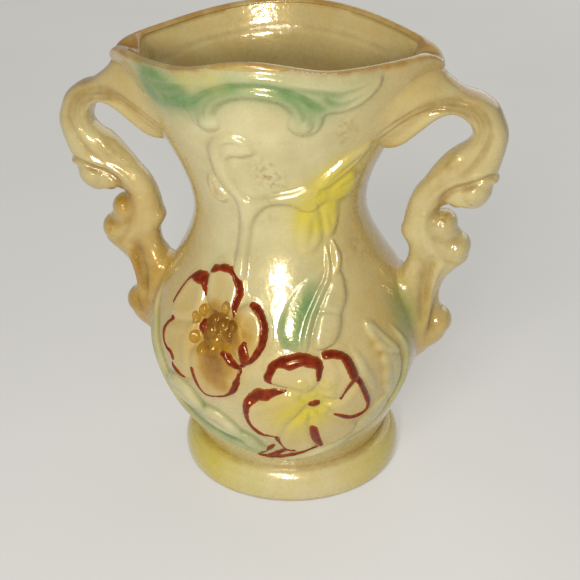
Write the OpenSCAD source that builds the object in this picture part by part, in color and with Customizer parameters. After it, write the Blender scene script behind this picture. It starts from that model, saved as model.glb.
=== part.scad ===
// Two-handled lustre vase with moulded flowers.
// Z is up. The origin is on the table, under the middle of the foot.
// The front is towards -Y and the handles are at -X and +X.

/* [Wall] */
// Height of the rim at the sides of the mouth
rim_h = 195; // [185:1:205]
// Width of the mouth, corner to corner
rim_w = 135; // [130:1:140]
// Depth of the mouth, front to back
rim_d = 79; // [75:1:83]
// How far the rim swells up at the front
front_rise = 5; // [4:0.5:6]
// How far the rim swells up at the back
back_rise = 7; // [5:0.5:8]
// How sharply the mouth is pinched to its two corners
rim_pinch = 1.7; // [1.4:0.1:1.8]
// Height of the narrowest part of the neck
neck_h = 129; // [126:1:132]
// Width of the neck
neck_w = 73; // [70:1:76]
// Depth of the neck
neck_d = 62; // [60:1:66]
// Height of the widest part of the belly
belly_h = 71; // [68:1:74]
// Width of the belly
belly_w = 121; // [116:1:126]
// Depth of the belly
belly_d = 106; // [102:1:110]
// Width of the wall where it stands on the foot
joint_w = 85; // [82:1:88]
// Depth of the wall where it stands on the foot
joint_d = 77; // [74:1:80]
// Thickness of the wall
wall_t = 4; // [3:0.5:5]
// Thickness of the floor inside
floor_t = 6; // [5:0.5:9]

/* [Foot] */
// Height of the foot
foot_h = 15; // [13:1:17]
// Width of the foot at its fullest
foot_w = 101; // [98:1:106]
// Depth of the foot at its fullest
foot_d = 90; // [88:1:94]
// Width of the flat ring that stands on the table
stand_w = 8; // [6:1:10]
// Depth of the hollow under the foot
foot_hollow = 8; // [5:1:9]

/* [Handles] */
// Thickness of the handles, front to back
handle_t = 17; // [14:1:19]

/* [Ornament] */
// Height of the moulded ornament above the wall
relief_h = 2.5; // [2:0.5:3.5]
// Reach of the petals from the middle of the two large flowers
petal_reach = 27; // [25:0.5:28]
// Radius of the middle of the two large flowers
eye_r = 5.5; // [4.5:0.5:6]

/* [Joints] */
// Layer of slip between the wall and what is luted to it
slip = 0.3; // [0.2:0.1:0.4]

/* [Hidden] */
// One hundredth of the rim's height: the handles and the ornament are given in these
part_h = rim_h / 100;
// Half the angle that the rim's swells cover at the front and the back
front_swell = 30;
back_swell = 70;
// Growth of half the width and half the depth, per unit of height, at the joint and the rim
joint_flare = [0.45, 0.4];
rim_flare = [0.3, 0.2];
width_knots = [
    [foot_h, joint_w / 2, joint_flare[0]],
    [belly_h, belly_w / 2, 0],
    [neck_h, neck_w / 2, 0],
    [rim_h, rim_w / 2, rim_flare[0]]
];
depth_knots = [
    [foot_h, joint_d / 2, joint_flare[1]],
    [belly_h, belly_d / 2, 0],
    [neck_h, neck_d / 2, 0],
    [rim_h, rim_d / 2, rim_flare[1]]
];
// Round of the corner between the wall and the floor inside
floor_r = 8;
// How far the foot's shoulder draws in towards the wall, and where it is fullest
foot_shoulder = 6;
foot_full_h = 5;
// Step angle round the wall and the foot, and points round a handle
turn = 6;
handle_points = 16;
// Radius of the beads round an eye, and their number
bead_r = 1.4;
bead_count = 9;
// Radius of the neck blossom's middle
blossom_r = 3;
// Heights of an eye and of the blossom's middle, as shares of the ornament's height
eye_share = 1.4;
blossom_share = 1.2;
// Round of the foot's edge on the table
foot_edge = 1.2;

// Cubic between two knots of [height, value, slope]
function between(a, b, t, l) =
    a[1] * (2 * t ^ 3 - 3 * t ^ 2 + 1) + a[2] * l * (t ^ 3 - 2 * t ^ 2 + t)
    + b[1] * (3 * t ^ 2 - 2 * t ^ 3) + b[2] * l * (t ^ 3 - t ^ 2);

// Smooth curve through knots, straight beyond both ends
function through(k, z, i = 0) =
    z <= k[0][0] ? k[0][1] + k[0][2] * (z - k[0][0])
    : i + 1 == len(k) ? k[i][1] + k[i][2] * (z - k[i][0])
    : z > k[i + 1][0] ? through(k, z, i + 1)
    : between(k[i], k[i + 1], (z - k[i][0]) / (k[i + 1][0] - k[i][0]), k[i + 1][0] - k[i][0]);

// Half width, half depth and pinch of the wall's outline at a height
function side(z) = through(width_knots, z);
function deep(z) = through(depth_knots, z);
function pinch(z) = 1 + (rim_pinch - 1) * min(1, max(0, (z - neck_h) / (rim_h - neck_h))) ^ 2;

// Point of an oval outline. The angle is 0 at the front and grows towards +X
function oval(angle, a, b, k, z) = [a * sin(angle), -b * sign(cos(angle)) * abs(cos(angle)) ^ k, z];

// Point of the wall at an angle and a height, set in from its outside
function wall_at(angle, z, inset = 0) = oval(angle, side(z) - inset, deep(z) - inset, pinch(z), z);

// Direction that the wall faces
function facing(angle, z) =
    let (
        along = wall_at(angle + 1, z) - wall_at(angle - 1, z),
        up = wall_at(angle, z + 1) - wall_at(angle, z - 1),
        n = cross(along, up)
    )
    n / norm(n);

// Point lifted off the wall
function lifted(angle, z, h) = wall_at(angle, z) + h * facing(angle, z);

// Lengths on the wall of one degree round it and of one unit of height
function degree_l(angle, z) = norm(wall_at(angle + 0.5, z) - wall_at(angle - 0.5, z));
function height_l(angle, z) = norm(wall_at(angle, z + 0.5) - wall_at(angle, z - 0.5));

// Height of the rim's top, which swells at the front and the back
function swell(angle, half) = abs(angle) < half ? cos(90 * angle / half) ^ 2 : 0;
function rim_top(angle) =
    rim_h + front_rise * swell(angle, front_swell) + back_rise * swell(180 - abs(angle), back_swell);

// Curve through points, with more points between them
function curve_point(a, b, c, d, t) =
    0.5 * (2 * b + (c - a) * t + (2 * a - 5 * b + 4 * c - d) * t ^ 2 + (3 * b - a - 3 * c + d) * t ^ 3);
function curve(p, steps) = [
    for (i = [0 : len(p) - 2], s = [0 : steps - 1])
        curve_point(p[max(i - 1, 0)], p[i], p[i + 1], p[min(i + 2, len(p) - 1)], s / steps),
    p[len(p) - 1]
];

// Middle of a ring of points
function middle(ring) =
    let (ones = [for (p = ring) 1])
    [for (i = [0 : 2]) [for (p = ring) p[i]] * ones / len(ring)];

// Closed skin over rings that have the same number of points
module skin(rings) {
    n = len(rings[0]);
    m = len(rings);
    points = [for (r = rings) each r, middle(rings[0]), middle(rings[m - 1])];
    sides = [
        for (i = [0 : m - 2], j = [0 : n - 1])
            let (a = i * n + j, b = i * n + (j + 1) % n)
            each [[a, a + n, b], [b, a + n, b + n]]
    ];
    start = [for (j = [0 : n - 1]) [j, (j + 1) % n, m * n]];
    end = [for (j = [0 : n - 1]) [(m - 1) * n + (j + 1) % n, (m - 1) * n + j, m * n + 1]];
    polyhedron(points = points, faces = concat(sides, start, end), convexity = 10);
}

// Body wall: a cast, hollow oval shell with a pinched mouth and a round lip
module body_wall() {
    base = foot_h + slip;
    floor_h = base + floor_t;
    lip_r = wall_t / 2;
    angles = [-180 : turn : 180 - turn];
    outside = [
        for (u = [0 : 1 / 20 : 1])
            [for (a = angles) wall_at(a, base + u * (rim_top(a) - lip_r - base))]
    ];
    lip = [
        for (t = [45 : 45 : 135])
            [for (a = angles) wall_at(a, rim_top(a) - lip_r, lip_r * (1 - cos(t))) + [0, 0, lip_r * sin(t)]]
    ];
    inside = [
        for (u = [1 : -1 / 14 : 0])
            let (low = floor_h + floor_r)
            [for (a = angles) wall_at(a, low + u * (rim_top(a) - lip_r - low), wall_t)]
    ];
    fillet = [
        for (t = [30 : 30 : 90])
            let (z = floor_h + floor_r * (1 - sin(t)))
            [for (a = angles) wall_at(a, z, wall_t + floor_r * (1 - cos(t)))]
    ];
    color("#e4dec6") skin(concat(outside, lip, inside, fillet));
}

// Foot: a full, rounded oval base with a hollow underneath
module foot_ring() {
    shoulder = [
        for (t = [0 : 18 : 90])
            [foot_shoulder * (1 - cos(t)), foot_full_h + (foot_h - foot_full_h) * sin(t)]
    ];
    stand = stand_w + foot_edge;
    outline = concat(
        [[stand + foot_edge, foot_hollow], [stand, 0], [foot_edge, 0], [foot_edge / 3, foot_edge]],
        shoulder
    );
    color("#e6d98c") skin([
        for (p = outline)
            [for (a = [-180 : turn : 180 - turn]) oval(a, foot_w / 2 - p[0], foot_d / 2 - p[0], 1, p[1])]
    ]);
}

// Outline of a handle from the rim down to the belly, in hundredths of the rim's height.
// Each row is the inner edge's distance out from the wall and its height,
// then the same of the outer edge, then the share of the full thickness.
handle_outline = [
    [-1, 76.9, -1.5, 99, 0.9],
    [2.6, 78.7, 0.5, 97.2, 1],
    [3.6, 81, 3.1, 95.6, 1],
    [4.9, 85.1, 7.7, 93.1, 1],
    [7.2, 85.9, 11.8, 91.3, 1],
    [10.3, 85.1, 15.9, 88.7, 0.95],
    [12.8, 83.8, 19, 85.9, 0.9],
    [14.6, 82.1, 22.6, 82.1, 0.9],
    [14.4, 80, 24.6, 77.4, 0.9],
    [12.8, 77.7, 25.1, 72.8, 0.9],
    [12.1, 75.6, 25.6, 69, 0.85],
    [11.5, 73.8, 24.4, 66.7, 0.85],
    [11, 72.1, 22.1, 66.2, 0.85],
    [10, 70, 18.7, 66.9, 0.8],
    [9.2, 67.7, 15.9, 65.1, 0.75],
    [8.5, 65.1, 17.4, 63.8, 0.8],
    [7.9, 62.3, 19.2, 61, 0.85],
    [6.9, 59.5, 19.2, 56.9, 0.85],
    [5.4, 56.2, 17.9, 54.4, 0.85],
    [3.8, 52.8, 13.8, 51.8, 0.85],
    [0.8, 49.7, 10, 49.2, 0.85],
    [-1.3, 45.6, 6.7, 45.6, 0.75],
    [-2.3, 41.8, 5.6, 42.1, 0.75],
    [-2.8, 37.4, 6.9, 37.9, 0.8],
    [-2.6, 33.6, 5.4, 33.8, 0.7],
    [-1.8, 30.3, 2.6, 30.8, 0.5],
    [-0.5, 27.2, 1.3, 27.2, 0.25]
];

// Handle: an acanthus scroll, laid on the wall's side and free between its two ends
module handle() {
    rows = curve(handle_outline, 2);
    function edge(out, h) = [side(h * part_h) + out * part_h, 0, h * part_h];
    function clear_of_wall(p) =
        let (x = side(p.z) * sqrt(1 - min(1, abs(p.y) / deep(p.z)) ^ (2 / pinch(p.z))) + slip)
        [max(p.x, x), p.y, p.z];
    function ring(row, size = 1) =
        let (inner = edge(row[0], row[1]), outer = edge(row[2], row[3]))
        [
            for (j = [0 : handle_points - 1])
                let (t = -360 * j / handle_points, thick = [0, handle_t / 2 * row[4], 0])
                clear_of_wall((inner + outer + size * (outer - inner) * cos(t)) / 2 + size * thick * sin(t))
        ];
    pad = [for (size = [0.15 : 0.2 : 0.95]) ring(rows[0], size)];
    skin(concat(pad, [for (row = rows) ring(row)]));
}
module right_handle() {
    color("#decd98") handle();
}
module left_handle() {
    color("#decd98") mirror([1, 0, 0]) handle();
}

// Section of a moulded band: place across it and share of its height
band_section = [[-1, 0], [0, 0], [1, 0], [1, 0.2], [0.6, 0.8], [0, 1], [-0.6, 0.8], [-1, 0.2]];

// Moulded band on the wall along points of [angle, height, half width]
module moulded(rows) {
    last = len(rows) - 1;
    skin([
        for (i = [0 : last])
            let (
                p = rows[i],
                step = rows[min(i + 1, last)] - rows[max(i - 1, 0)],
                scale_l = [degree_l(p[0], p[1]), height_l(p[0], p[1])],
                ahead = [step[0] * scale_l[0], step[1] * scale_l[1]],
                across = [-ahead[1] / scale_l[0], ahead[0] / scale_l[1]] * p[2] / norm(ahead)
            )
            [
                for (s = band_section)
                    lifted(p[0] + s[0] * across[0], p[1] + s[0] * across[1], slip + s[1] * relief_h)
            ]
    ]);
}

// The same along a curve, with heights and half widths in hundredths of the rim's height
module band(path) {
    moulded(curve([for (p = path) [p[0], p[1] * part_h, p[2] * part_h]], 2));
}

// Point on the wall at a distance and a direction from a centre of [angle, height]
function around(centre, r, direction) = [
    centre[0] + r * cos(direction) / degree_l(centre[0], centre[1]),
    centre[1] + r * sin(direction) / height_l(centre[0], centre[1])
];

// Low round dome on the wall
module dome(centre, r, h) {
    rows = [[0.3, 0], [0.7, 0], [1, 0], [1, 0.3], [0.75, 0.75], [0.35, 1]];
    skin([
        for (p = rows)
            [
                for (t = [0 : 30 : 330])
                    let (q = around(centre, r * p[0], t))
                    lifted(q[0], q[1], slip + p[1] * h)
            ]
    ]);
}

// Shape of a petal: place along it and share of its half width
petal_shape = [[0, 0.35], [0.25, 0.65], [0.55, 0.95], [0.8, 0.95], [0.95, 0.65], [1, 0.35]];

// Petals round a flower's eye, in rows of direction, length and half width as shares of the reach
module petals(centre, rows) {
    start = eye_r + 2 * bead_r + slip;
    for (row = rows)
        moulded([
            for (s = petal_shape)
                let (q = around(centre, start + (petal_reach * row[1] - start) * s[0], row[0]))
                [q[0], q[1], s[1] * row[2] * petal_reach]
        ]);
}

// Eye of a flower: a dome with a ring of round beads
module eye(centre) {
    dome(centre, eye_r - slip, relief_h * eye_share);
    for (i = [0 : bead_count - 1]) {
        q = around(centre, eye_r + bead_r, 360 * i / bead_count);
        translate(lifted(q[0], q[1], slip + bead_r)) sphere(bead_r, $fn = 24);
    }
}

// Centres of the two large flowers, and their petals
left_flower = [-21, 44.6 * part_h];
left_rows = [[14, 0.82, 0.31], [96, 1, 0.26], [146, 1, 0.26], [201, 1, 0.3], [272, 0.98, 0.35]];
right_flower = [20.5, 31.3 * part_h];
right_rows = [[-19, 0.86, 0.28], [53, 0.85, 0.24], [106, 0.85, 0.28], [194, 0.95, 0.33], [272, 1, 0.37]];

// Rim scroll: an arch with a feathered wing and a volute on each side
module rim_scroll() {
    color("#a9c8a4") {
        band([
            [-45, 97.4, 0.4], [-40, 95.9, 2.6], [-32, 95.6, 3.3], [-24, 95.6, 3.6],
            [-15, 96.7, 2.8], [-6, 97.9, 2.3], [6, 97.9, 2.3], [15, 96.7, 2.8],
            [24, 95.6, 3.6], [32, 95.6, 3.3], [40, 95.9, 2.6], [45, 97.4, 0.4]
        ]);
        for (s = [-1, 1])
            band([
                [s * 25, 90.3, 0.8], [s * 24, 89, 1.3], [s * 19, 88.5, 1.3], [s * 15, 89.7, 1.3],
                [s * 16, 91.5, 0.8]
            ]);
    }
}

// Vine: a hooked stem down the neck, its side branch and a small bud leaf
module vine() {
    color("#dddcc6") {
        band([
            [-3, 85.4, 0.6], [-9, 86.2, 1.1], [-15, 84.9, 1.3], [-18.5, 82.6, 1.3], [-19.5, 79.5, 1.3],
            [-17, 76.2, 1.3], [-12, 72.8, 1.3], [-10.5, 69.2, 1.2], [-12, 64.6, 1.1], [-12.5, 58.7, 0.8]
        ]);
        band([[-4.5, 72.6, 0.6], [4, 73.1, 1], [14, 73.7, 1], [24, 73.8, 0.6]]);
        band([[-31, 76.4, 0.4], [-33, 74.6, 1.1], [-31, 72.6, 1.1], [-26, 71.5, 0.4]]);
    }
}

// Neck blossom: four long petals round a small middle
module neck_blossom() {
    centre = [36, 72 * part_h];
    color("#e3d955") {
        dome(centre, blossom_r, relief_h * blossom_share);
        band([[34, 75.1, 0.8], [39, 77.2, 1.6], [46, 79.7, 1.6], [53, 82.1, 0.4]]);
        band([[45, 72.8, 0.5], [52, 73.8, 1], [62, 74.4, 0.4]]);
        band([[43, 69.5, 0.6], [47, 67.2, 1.2], [46, 64.6, 1], [43, 63.1, 0.4]]);
        band([[32, 69.7, 0.6], [27.5, 66.9, 1.4], [26, 63.8, 1.4], [28.5, 61, 0.4]]);
    }
}

// Hanging leaves: a plain leaf and a pinched bud below the blossom
module hanging_leaves() {
    color("#a3c4a6") {
        band([[36, 59.7, 0.4], [29, 55.4, 1.5], [21.5, 51.3, 1.9], [17, 48.2, 1.5], [14, 45.6, 0.4]]);
        band([
            [41.5, 61.5, 0.4], [42, 58.2, 1.4], [38.5, 54.4, 1.1], [36.5, 51.8, 1.4],
            [32, 48.2, 1.3], [28.5, 45.1, 0.4]
        ]);
    }
}

// Petals and eyes of the two large flowers
module left_petals() {
    color("#e2d8ae") petals(left_flower, left_rows);
}
module left_eye() {
    color("#a9742e") eye(left_flower);
}
module right_petals() {
    color("#e4dca8") petals(right_flower, right_rows);
}
module right_eye() {
    color("#d6ca3e") eye(right_flower);
}

// Base leaves: long curled leaves round the bottom of the belly
module left_base_leaf() {
    color("#cdd6b8")
        band([
            [-64, 43.1, 0.4], [-60.5, 36.9, 1.5], [-57, 30.8, 2.1], [-47, 25.6, 2.3],
            [-34, 23.6, 2.3], [-22, 20.8, 2.1], [-12, 17.4, 1.5], [-6, 14.4, 0.4]
        ]);
}
module right_base_leaf() {
    color("#cdd6b8") {
        band([
            [48, 47.2, 0.4], [53.5, 41.5, 1.3], [57, 34.9, 1.6], [58, 28.7, 1.6],
            [54.5, 23.6, 1.6], [46, 20.5, 1.3], [38, 18.7, 0.4]
        ]);
        band([
            [63, 43.6, 0.4], [68, 37.4, 1], [69.5, 31.8, 1.2], [68, 25.1, 1.2],
            [60, 19.7, 1.2], [49, 16.7, 1], [40, 14.9, 0.4]
        ]);
    }
}

// The back carries the same ornament as the front, turned half round
module at_back() {
    rotate([0, 0, 180]) children();
}

body_wall();
foot_ring();
left_handle();
right_handle();
rim_scroll();  // front_rim_scroll
vine();  // front_vine
neck_blossom();  // front_neck_blossom
hanging_leaves();  // front_hanging_leaves
left_petals();  // front_left_petals
left_eye();  // front_left_eye
right_petals();  // front_right_petals
right_eye();  // front_right_eye
left_base_leaf();  // front_left_base_leaf
right_base_leaf();  // front_right_base_leaf
at_back() rim_scroll();  // back_rim_scroll
at_back() vine();  // back_vine
at_back() neck_blossom();  // back_neck_blossom
at_back() hanging_leaves();  // back_hanging_leaves
at_back() left_petals();  // back_left_petals
at_back() left_eye();  // back_left_eye
at_back() right_petals();  // back_right_petals
at_back() right_eye();  // back_right_eye
at_back() left_base_leaf();  // back_left_base_leaf
at_back() right_base_leaf();  // back_right_base_leaf
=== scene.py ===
import bpy
import numpy as np
from mathutils import Matrix


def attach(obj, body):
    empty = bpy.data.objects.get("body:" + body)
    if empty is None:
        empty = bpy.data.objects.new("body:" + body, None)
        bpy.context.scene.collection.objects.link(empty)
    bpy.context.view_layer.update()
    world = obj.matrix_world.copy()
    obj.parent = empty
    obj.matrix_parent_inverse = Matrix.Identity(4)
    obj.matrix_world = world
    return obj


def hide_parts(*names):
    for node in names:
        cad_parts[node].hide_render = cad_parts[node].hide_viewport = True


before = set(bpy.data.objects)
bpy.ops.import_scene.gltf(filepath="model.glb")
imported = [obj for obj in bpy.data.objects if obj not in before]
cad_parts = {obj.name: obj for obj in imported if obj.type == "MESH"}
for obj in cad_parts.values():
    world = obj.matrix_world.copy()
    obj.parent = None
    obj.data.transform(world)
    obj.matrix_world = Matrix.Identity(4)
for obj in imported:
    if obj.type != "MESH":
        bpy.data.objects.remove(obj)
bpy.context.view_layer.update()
scene = bpy.context.scene

# Cast wall: a hollow oval shell of white earthenware, slip-cast in a two-part mould.
# It stands on the foot, narrows to a neck and opens to a mouth that is pinched to two corners.
# A gold lustre over cream glaze covers it; the glaze runs thin and brown on the lip.

WALL_T, FLOOR_H, FLOOR_R, JOINT_H = 4.0, 21.3, 8.0, 15.3
BELLY_H, NECK_H, RIM_H = 71.0, 129.0, 195.0
# Half width and half depth of the wall, as rows of height, size and slope.
WIDTH = np.array([(15, 42.5, 0.45), (BELLY_H, 60.5, 0), (NECK_H, 36.5, 0), (RIM_H, 67.5, 0.3)])
DEPTH = np.array([(15, 38.5, 0.4), (BELLY_H, 53, 0), (NECK_H, 31, 0), (RIM_H, 39.5, 0.2)])
# The mouth's pinch: its power at the rim, the blunting of its two corners, and their reach in degrees.
PINCH, BLUNT, CORNER_REACH = 0.35, 0.05, 14.0
# The rim rises at the front and at the back, in degrees to each side and in mm, and drops at the corners.
FRONT_REACH, FRONT_SWELL = 30.0, 5.0
REAR_REACH, REAR_SWELL = 70.0, 7.0
CORNER_DROP = 3.5


def through(knots, z):
    """Smooth curve through rows of height, value and slope: a cubic between rows, straight past the ends."""
    height, value, slope = knots.T
    i = np.clip(np.searchsorted(height, z) - 1, 0, len(height) - 2)
    run = height[i + 1] - height[i]
    t = np.clip((z - height[i]) / run, 0, 1)
    inner = value[i] * (2 * t**3 - 3 * t**2 + 1) + slope[i] * run * (t**3 - 2 * t**2 + t)
    inner += value[i + 1] * (3 * t**2 - 2 * t**3) + slope[i + 1] * run * (t**3 - t**2)
    return inner + slope[0] * np.minimum(z - height[0], 0) + slope[-1] * np.maximum(z - height[-1], 0)


def pinch_at(z):
    """Power of the mouth's pinch: none up to the neck, then growing as a square to the rim."""
    return PINCH * np.clip((z - NECK_H) / (RIM_H - NECK_H), 0, 1) ** 2


def wall_at(angle, z, inset=0.0):
    """Point of the wall: an oval at each height, its cosine times a blunted power of itself that pinches the
    mouth to two corners. The angle is 0 at the front and grows towards the right handle."""
    angle, z = np.broadcast_arrays(np.radians(angle), np.asarray(z, float))
    c = np.cos(angle)
    x = (through(WIDTH, z) - inset) * np.sin(angle)
    y = -(through(DEPTH, z) - inset) * c * ((c * c + BLUNT) / (1 + BLUNT)) ** pinch_at(z)
    return np.stack([x, y, z], -1)


def from_front(angle):
    """Angle from the front to either side: 0 at the front and 180 at the back."""
    return np.abs((np.asarray(angle, float) + 180) % 360 - 180)


def at_corner(angle):
    """Share of the mouth's two thick, worn corners: a bell over the angle from each of them."""
    return np.exp(-(((from_front(angle) - 90) / CORNER_REACH) ** 2))


def rim_top(angle):
    """Height of the rim: level, with a cosine-squared swell at the front and a wider one at the back, and a
    drop at the two corners."""
    front = np.cos(np.radians(np.minimum(90 * from_front(angle) / FRONT_REACH, 90))) ** 2
    rear = np.cos(np.radians(np.minimum(90 * (180 - from_front(angle)) / REAR_REACH, 90))) ** 2
    return RIM_H + FRONT_SWELL * front + REAR_SWELL * rear - CORNER_DROP * at_corner(angle)


def smooth(a, b, x):
    """Smooth step from 0 at a to 1 at b."""
    t = np.clip((x - a) / (b - a), 0, 1)
    return t * t * (3 - 2 * t)


# Airbrushed colours on the front: angle, height, reach in mm and strength of each puff of spray.
SPRAY = {
    "green": [(-42, 188, 8, 1), (-38, 184, 8, 1), (-30, 184, 8, 0.95), (-22, 183, 7, 0.7),
              (-14, 187, 6, 0.65), (-6, 190, 6, 0.75), (4, 190, 6, 0.8), (12, 187, 6, 0.8),
              (20, 182, 7, 0.7), (27, 184, 6, 0.4), (36, 186, 8, 0.15), (25, 105, 5, 0.6),
              (21, 99, 6, 0.9), (16, 93, 6, 0.95), (13, 88, 5, 0.6), (8, 95, 6, 0.35), (74, 92, 7, 0.5),
              (72, 82, 8, 0.6), (68, 70, 8, 0.35), (-62, 76, 6, 0.7), (-59, 66, 6, 0.8),
              (-50, 53, 6, 0.8), (-41, 44, 6, 0.8), (-31, 47, 3.5, 0.7), (-31, 38, 6, 0.7),
              (-20, 34, 6, 0.7), (-11, 37, 3.5, 0.5), (-9, 30, 6, 0.6), (6, 28, 7, 0.3),
              (66, 56, 8, 0.35), (58, 42, 8, 0.3), (40, 29, 7, 0.3), (-2, 66, 6, 0.15)],
    "yellow": [(33, 142, 7, 0.8), (40, 149, 7, 0.8), (46, 154, 6, 0.5), (49, 145, 7, 0.7),
               (43, 135, 6, 0.8), (42, 128, 6, 0.3), (25, 134, 9, 0.35), (30, 133, 6, 0.6),
               (26, 126, 5, 0.15), (22, 143, 5, 0.35), (-22, 193, 5, 0.35), (-12, 194, 6, 0.35),
               (20.5, 63, 9, 0.65), (13, 58, 9, 0.55), (21, 54, 9, 0.45), (6, 54, 8, 0.35),
               (14, 44, 9, 0.35), (58, 80, 4, 0.35), (36, 116, 6, 0.2)],
    "amber": [(-19.5, 89, 7, 0.9), (-10, 91, 7, 0.5), (-6, 88, 6, 0.25), (-20, 80.5, 5, 0.75),
              (-14, 78, 6, 0.6), (-20, 71, 7, 0.48), (-14, 69, 6, 0.36), (-22, 97, 4, 0.6),
              (-29, 80, 4, 0.3), (-30, 92, 8, 0.15), (-20, 106, 8, 0.12), (49.5, 82, 2.5, 0.4),
              (51.5, 76.5, 2.5, 0.5), (52.5, 69, 2.5, 0.4), (53, 61, 2.5, 0.3)],
    "stain": [(2, 156, 5, 0.6), (6, 147, 6, 0.6), (8, 152, 5, 0.4), (-4, 118, 6, 0.35), (38, 168, 5, 0.5),
              (36, 175, 4, 0.4), (34, 108, 3, 0.7), (44, 104, 3, 0.6), (62, 116, 8, 0.45), (-60, 110, 9, 0.3),
              (70, 140, 8, 0.35), (4, 134, 4, 0.4)],
}


def sprayed(points, puffs):
    """Sum of bell-shaped puffs on the wall, front and back alike, at most 1."""
    total = np.zeros(len(points))
    for angle, z, reach, strength in puffs:
        centre = wall_at(angle, z)
        for side in (1, -1):
            d2 = ((points - centre * [side, side, 1]) ** 2).sum(1)
            total += strength * np.exp(-d2 / reach**2)
    return np.clip(total, 0, 1)


def outward(points, faces):
    """Faces turned so that the closed surface's volume, summed over triangles, is positive."""
    f = np.array([q[:3] for q in faces] + [[q[0], q[2], q[3]] for q in faces if len(q) == 4])
    a, b, c = points[f[:, 0]], points[f[:, 1]], points[f[:, 2]]
    volume = (a * np.cross(b, c)).sum()
    return faces if volume > 0 else [q[::-1] for q in faces]


def flank_tan_and_shade(points):
    """How far the colour turns tan: to the flanks, where it is partly painted shade, a little on the belly,
    and less out on the handles.
    """
    aside, half = np.abs(points[:, 0]), through(WIDTH, points[:, 2])
    flank = 0.7 * smooth(0.4, 1, aside / half) - 0.4 * smooth(0, 15, aside - half)
    return flank + 0.25 * smooth(108, 85, points[:, 2])


def add_piece(name, points, faces, material, slot, nodes=(), **marks):
    """Mesh piece from points in mm, with its spray and other marks as one value a point."""
    points = np.asarray(points, float)
    mesh = bpy.data.meshes.new(name)
    mesh.from_pydata((points / 1000).tolist(), [], outward(points, faces))
    mesh.shade_smooth()
    mesh.set_sharp_from_angle(angle=1.1)
    values = {key: sprayed(points, puffs) for key, puffs in SPRAY.items()}
    # tan towards the flanks, partly painted shade
    values["warm"] = flank_tan_and_shade(points)
    values["worn"] = values["crease"] = np.zeros(len(points))
    values.update(marks)
    for key, value in values.items():
        layer = mesh.attributes.new(key, "FLOAT", "POINT")
        layer.data.foreach_set("value", np.asarray(value, np.float32))
    mesh.materials.append(material)
    piece = bpy.data.objects.new(name, mesh)
    scene.collection.objects.link(piece)
    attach(piece, "root")
    if nodes:
        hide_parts(*nodes)


def skin(rings):
    """Closed surface over rings of points: four-sided faces between rings and a fan over each end ring."""
    m, n = rings.shape[:2]
    k = np.arange(m * n).reshape(m, n)
    across = np.roll(k, -1, 1)
    sides = np.stack([k[:-1], across[:-1], across[1:], k[1:]], -1).reshape(-1, 4)
    first = np.stack([across[0], k[0], np.full(n, m * n)], -1)
    last = np.stack([k[-1], across[-1], np.full(n, m * n + 1)], -1)
    points = np.concatenate([rings.reshape(-1, 3), rings[:1].mean(1), rings[-1:].mean(1)])
    return points, sides.tolist() + first.tolist() + last.tolist()


def linear(code):
    """sRGB hex colour as linear red, green, blue and 1."""
    c = np.array([int(code[i:i + 2], 16) for i in (1, 3, 5)]) / 255
    return tuple(np.where(c <= 0.04045, c / 12.92, ((c + 0.055) / 1.055) ** 2.4)) + (1.0,)


def add_node(tree, kind, inputs=(), **settings):
    """Adds a node, with its settings and with links or values on its inputs."""
    node = tree.nodes.new(kind)
    for key, value in settings.items():
        setattr(node, key, value)
    for key, value in dict(inputs).items():
        if isinstance(value, bpy.types.NodeSocket):
            tree.links.new(value, node.inputs[key])
        else:
            node.inputs[key].default_value = value
    return node


# Patterns of the glaze: width of a patch in mm, detail and roughness of its noise.
GLAZE_PATTERNS = {
    "tone_and_sheen_patch": (37.037, 2.0, 0.5), "pool": (20.833, 5.0, 0.6), "blot": (7.6923, 4.0, 0.5),
    "ripple": (6.25, 2.0, 0.5), "grit": (2.38095, 6.0, 0.7), "mottle": (1.66667, 3.0, 0.5),
    "speck": (1.11111, 2.0, 0.5)}
# Tints, one over another: the pattern, two values of it and the share of the tint at each; the mark that
# multiplies the share; for amber, the span of that product over which the tint comes in, and how far it
# comes; and the colour.
GLAZE_TINTS = (
    # rosy and grey-green patches: partly the glaze's tone, partly the lustre's iridescent sheen painted in
    ("tone_and_sheen_patch", 0.5, 0.76, 0.0, 0.35, None, None, "#cfba86"),
    ("tone_and_sheen_patch", 0.5, 0.26, 0.0, 0.35, None, None, "#b4ba92"),
    # tan on the warm mark; on the flanks it is partly painted shade
    ("blot", 0.2, 0.7, 0.55, 0.95, "warm", None, "#c4a048"),
    ("blot", 0.3, 0.65, 0.75, 1.0, "green", None, "#5f8a50"),
    ("blot", 0.3, 0.65, 0.75, 1.0, "yellow", None, "#cfbc2c"),
    ("blot", 0.32, 0.62, 0.6, 1.0, "amber", (0.0, 0.5, 0.9), "#b88a1c"),
    ("blot", 0.32, 0.62, 0.6, 1.0, "amber", (0.3, 0.9, 0.95), "#7c4a00"),
    # grey-brown on the crease mark: pooled glaze and painted shade at the foot of edges
    ("blot", 0.3, 0.65, 0.35, 0.85, "crease", None, "#80632c"),
    ("speck", 0.7, 0.78, 0.0, 0.3, None, None, "#7a6330"),
    ("grit", 0.46, 0.6, 0.0, 0.9, "stain", None, "#96732f"),
    ("blot", 0.35, 0.6, 0.35, 0.95, "worn", None, "#996829"))


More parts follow.
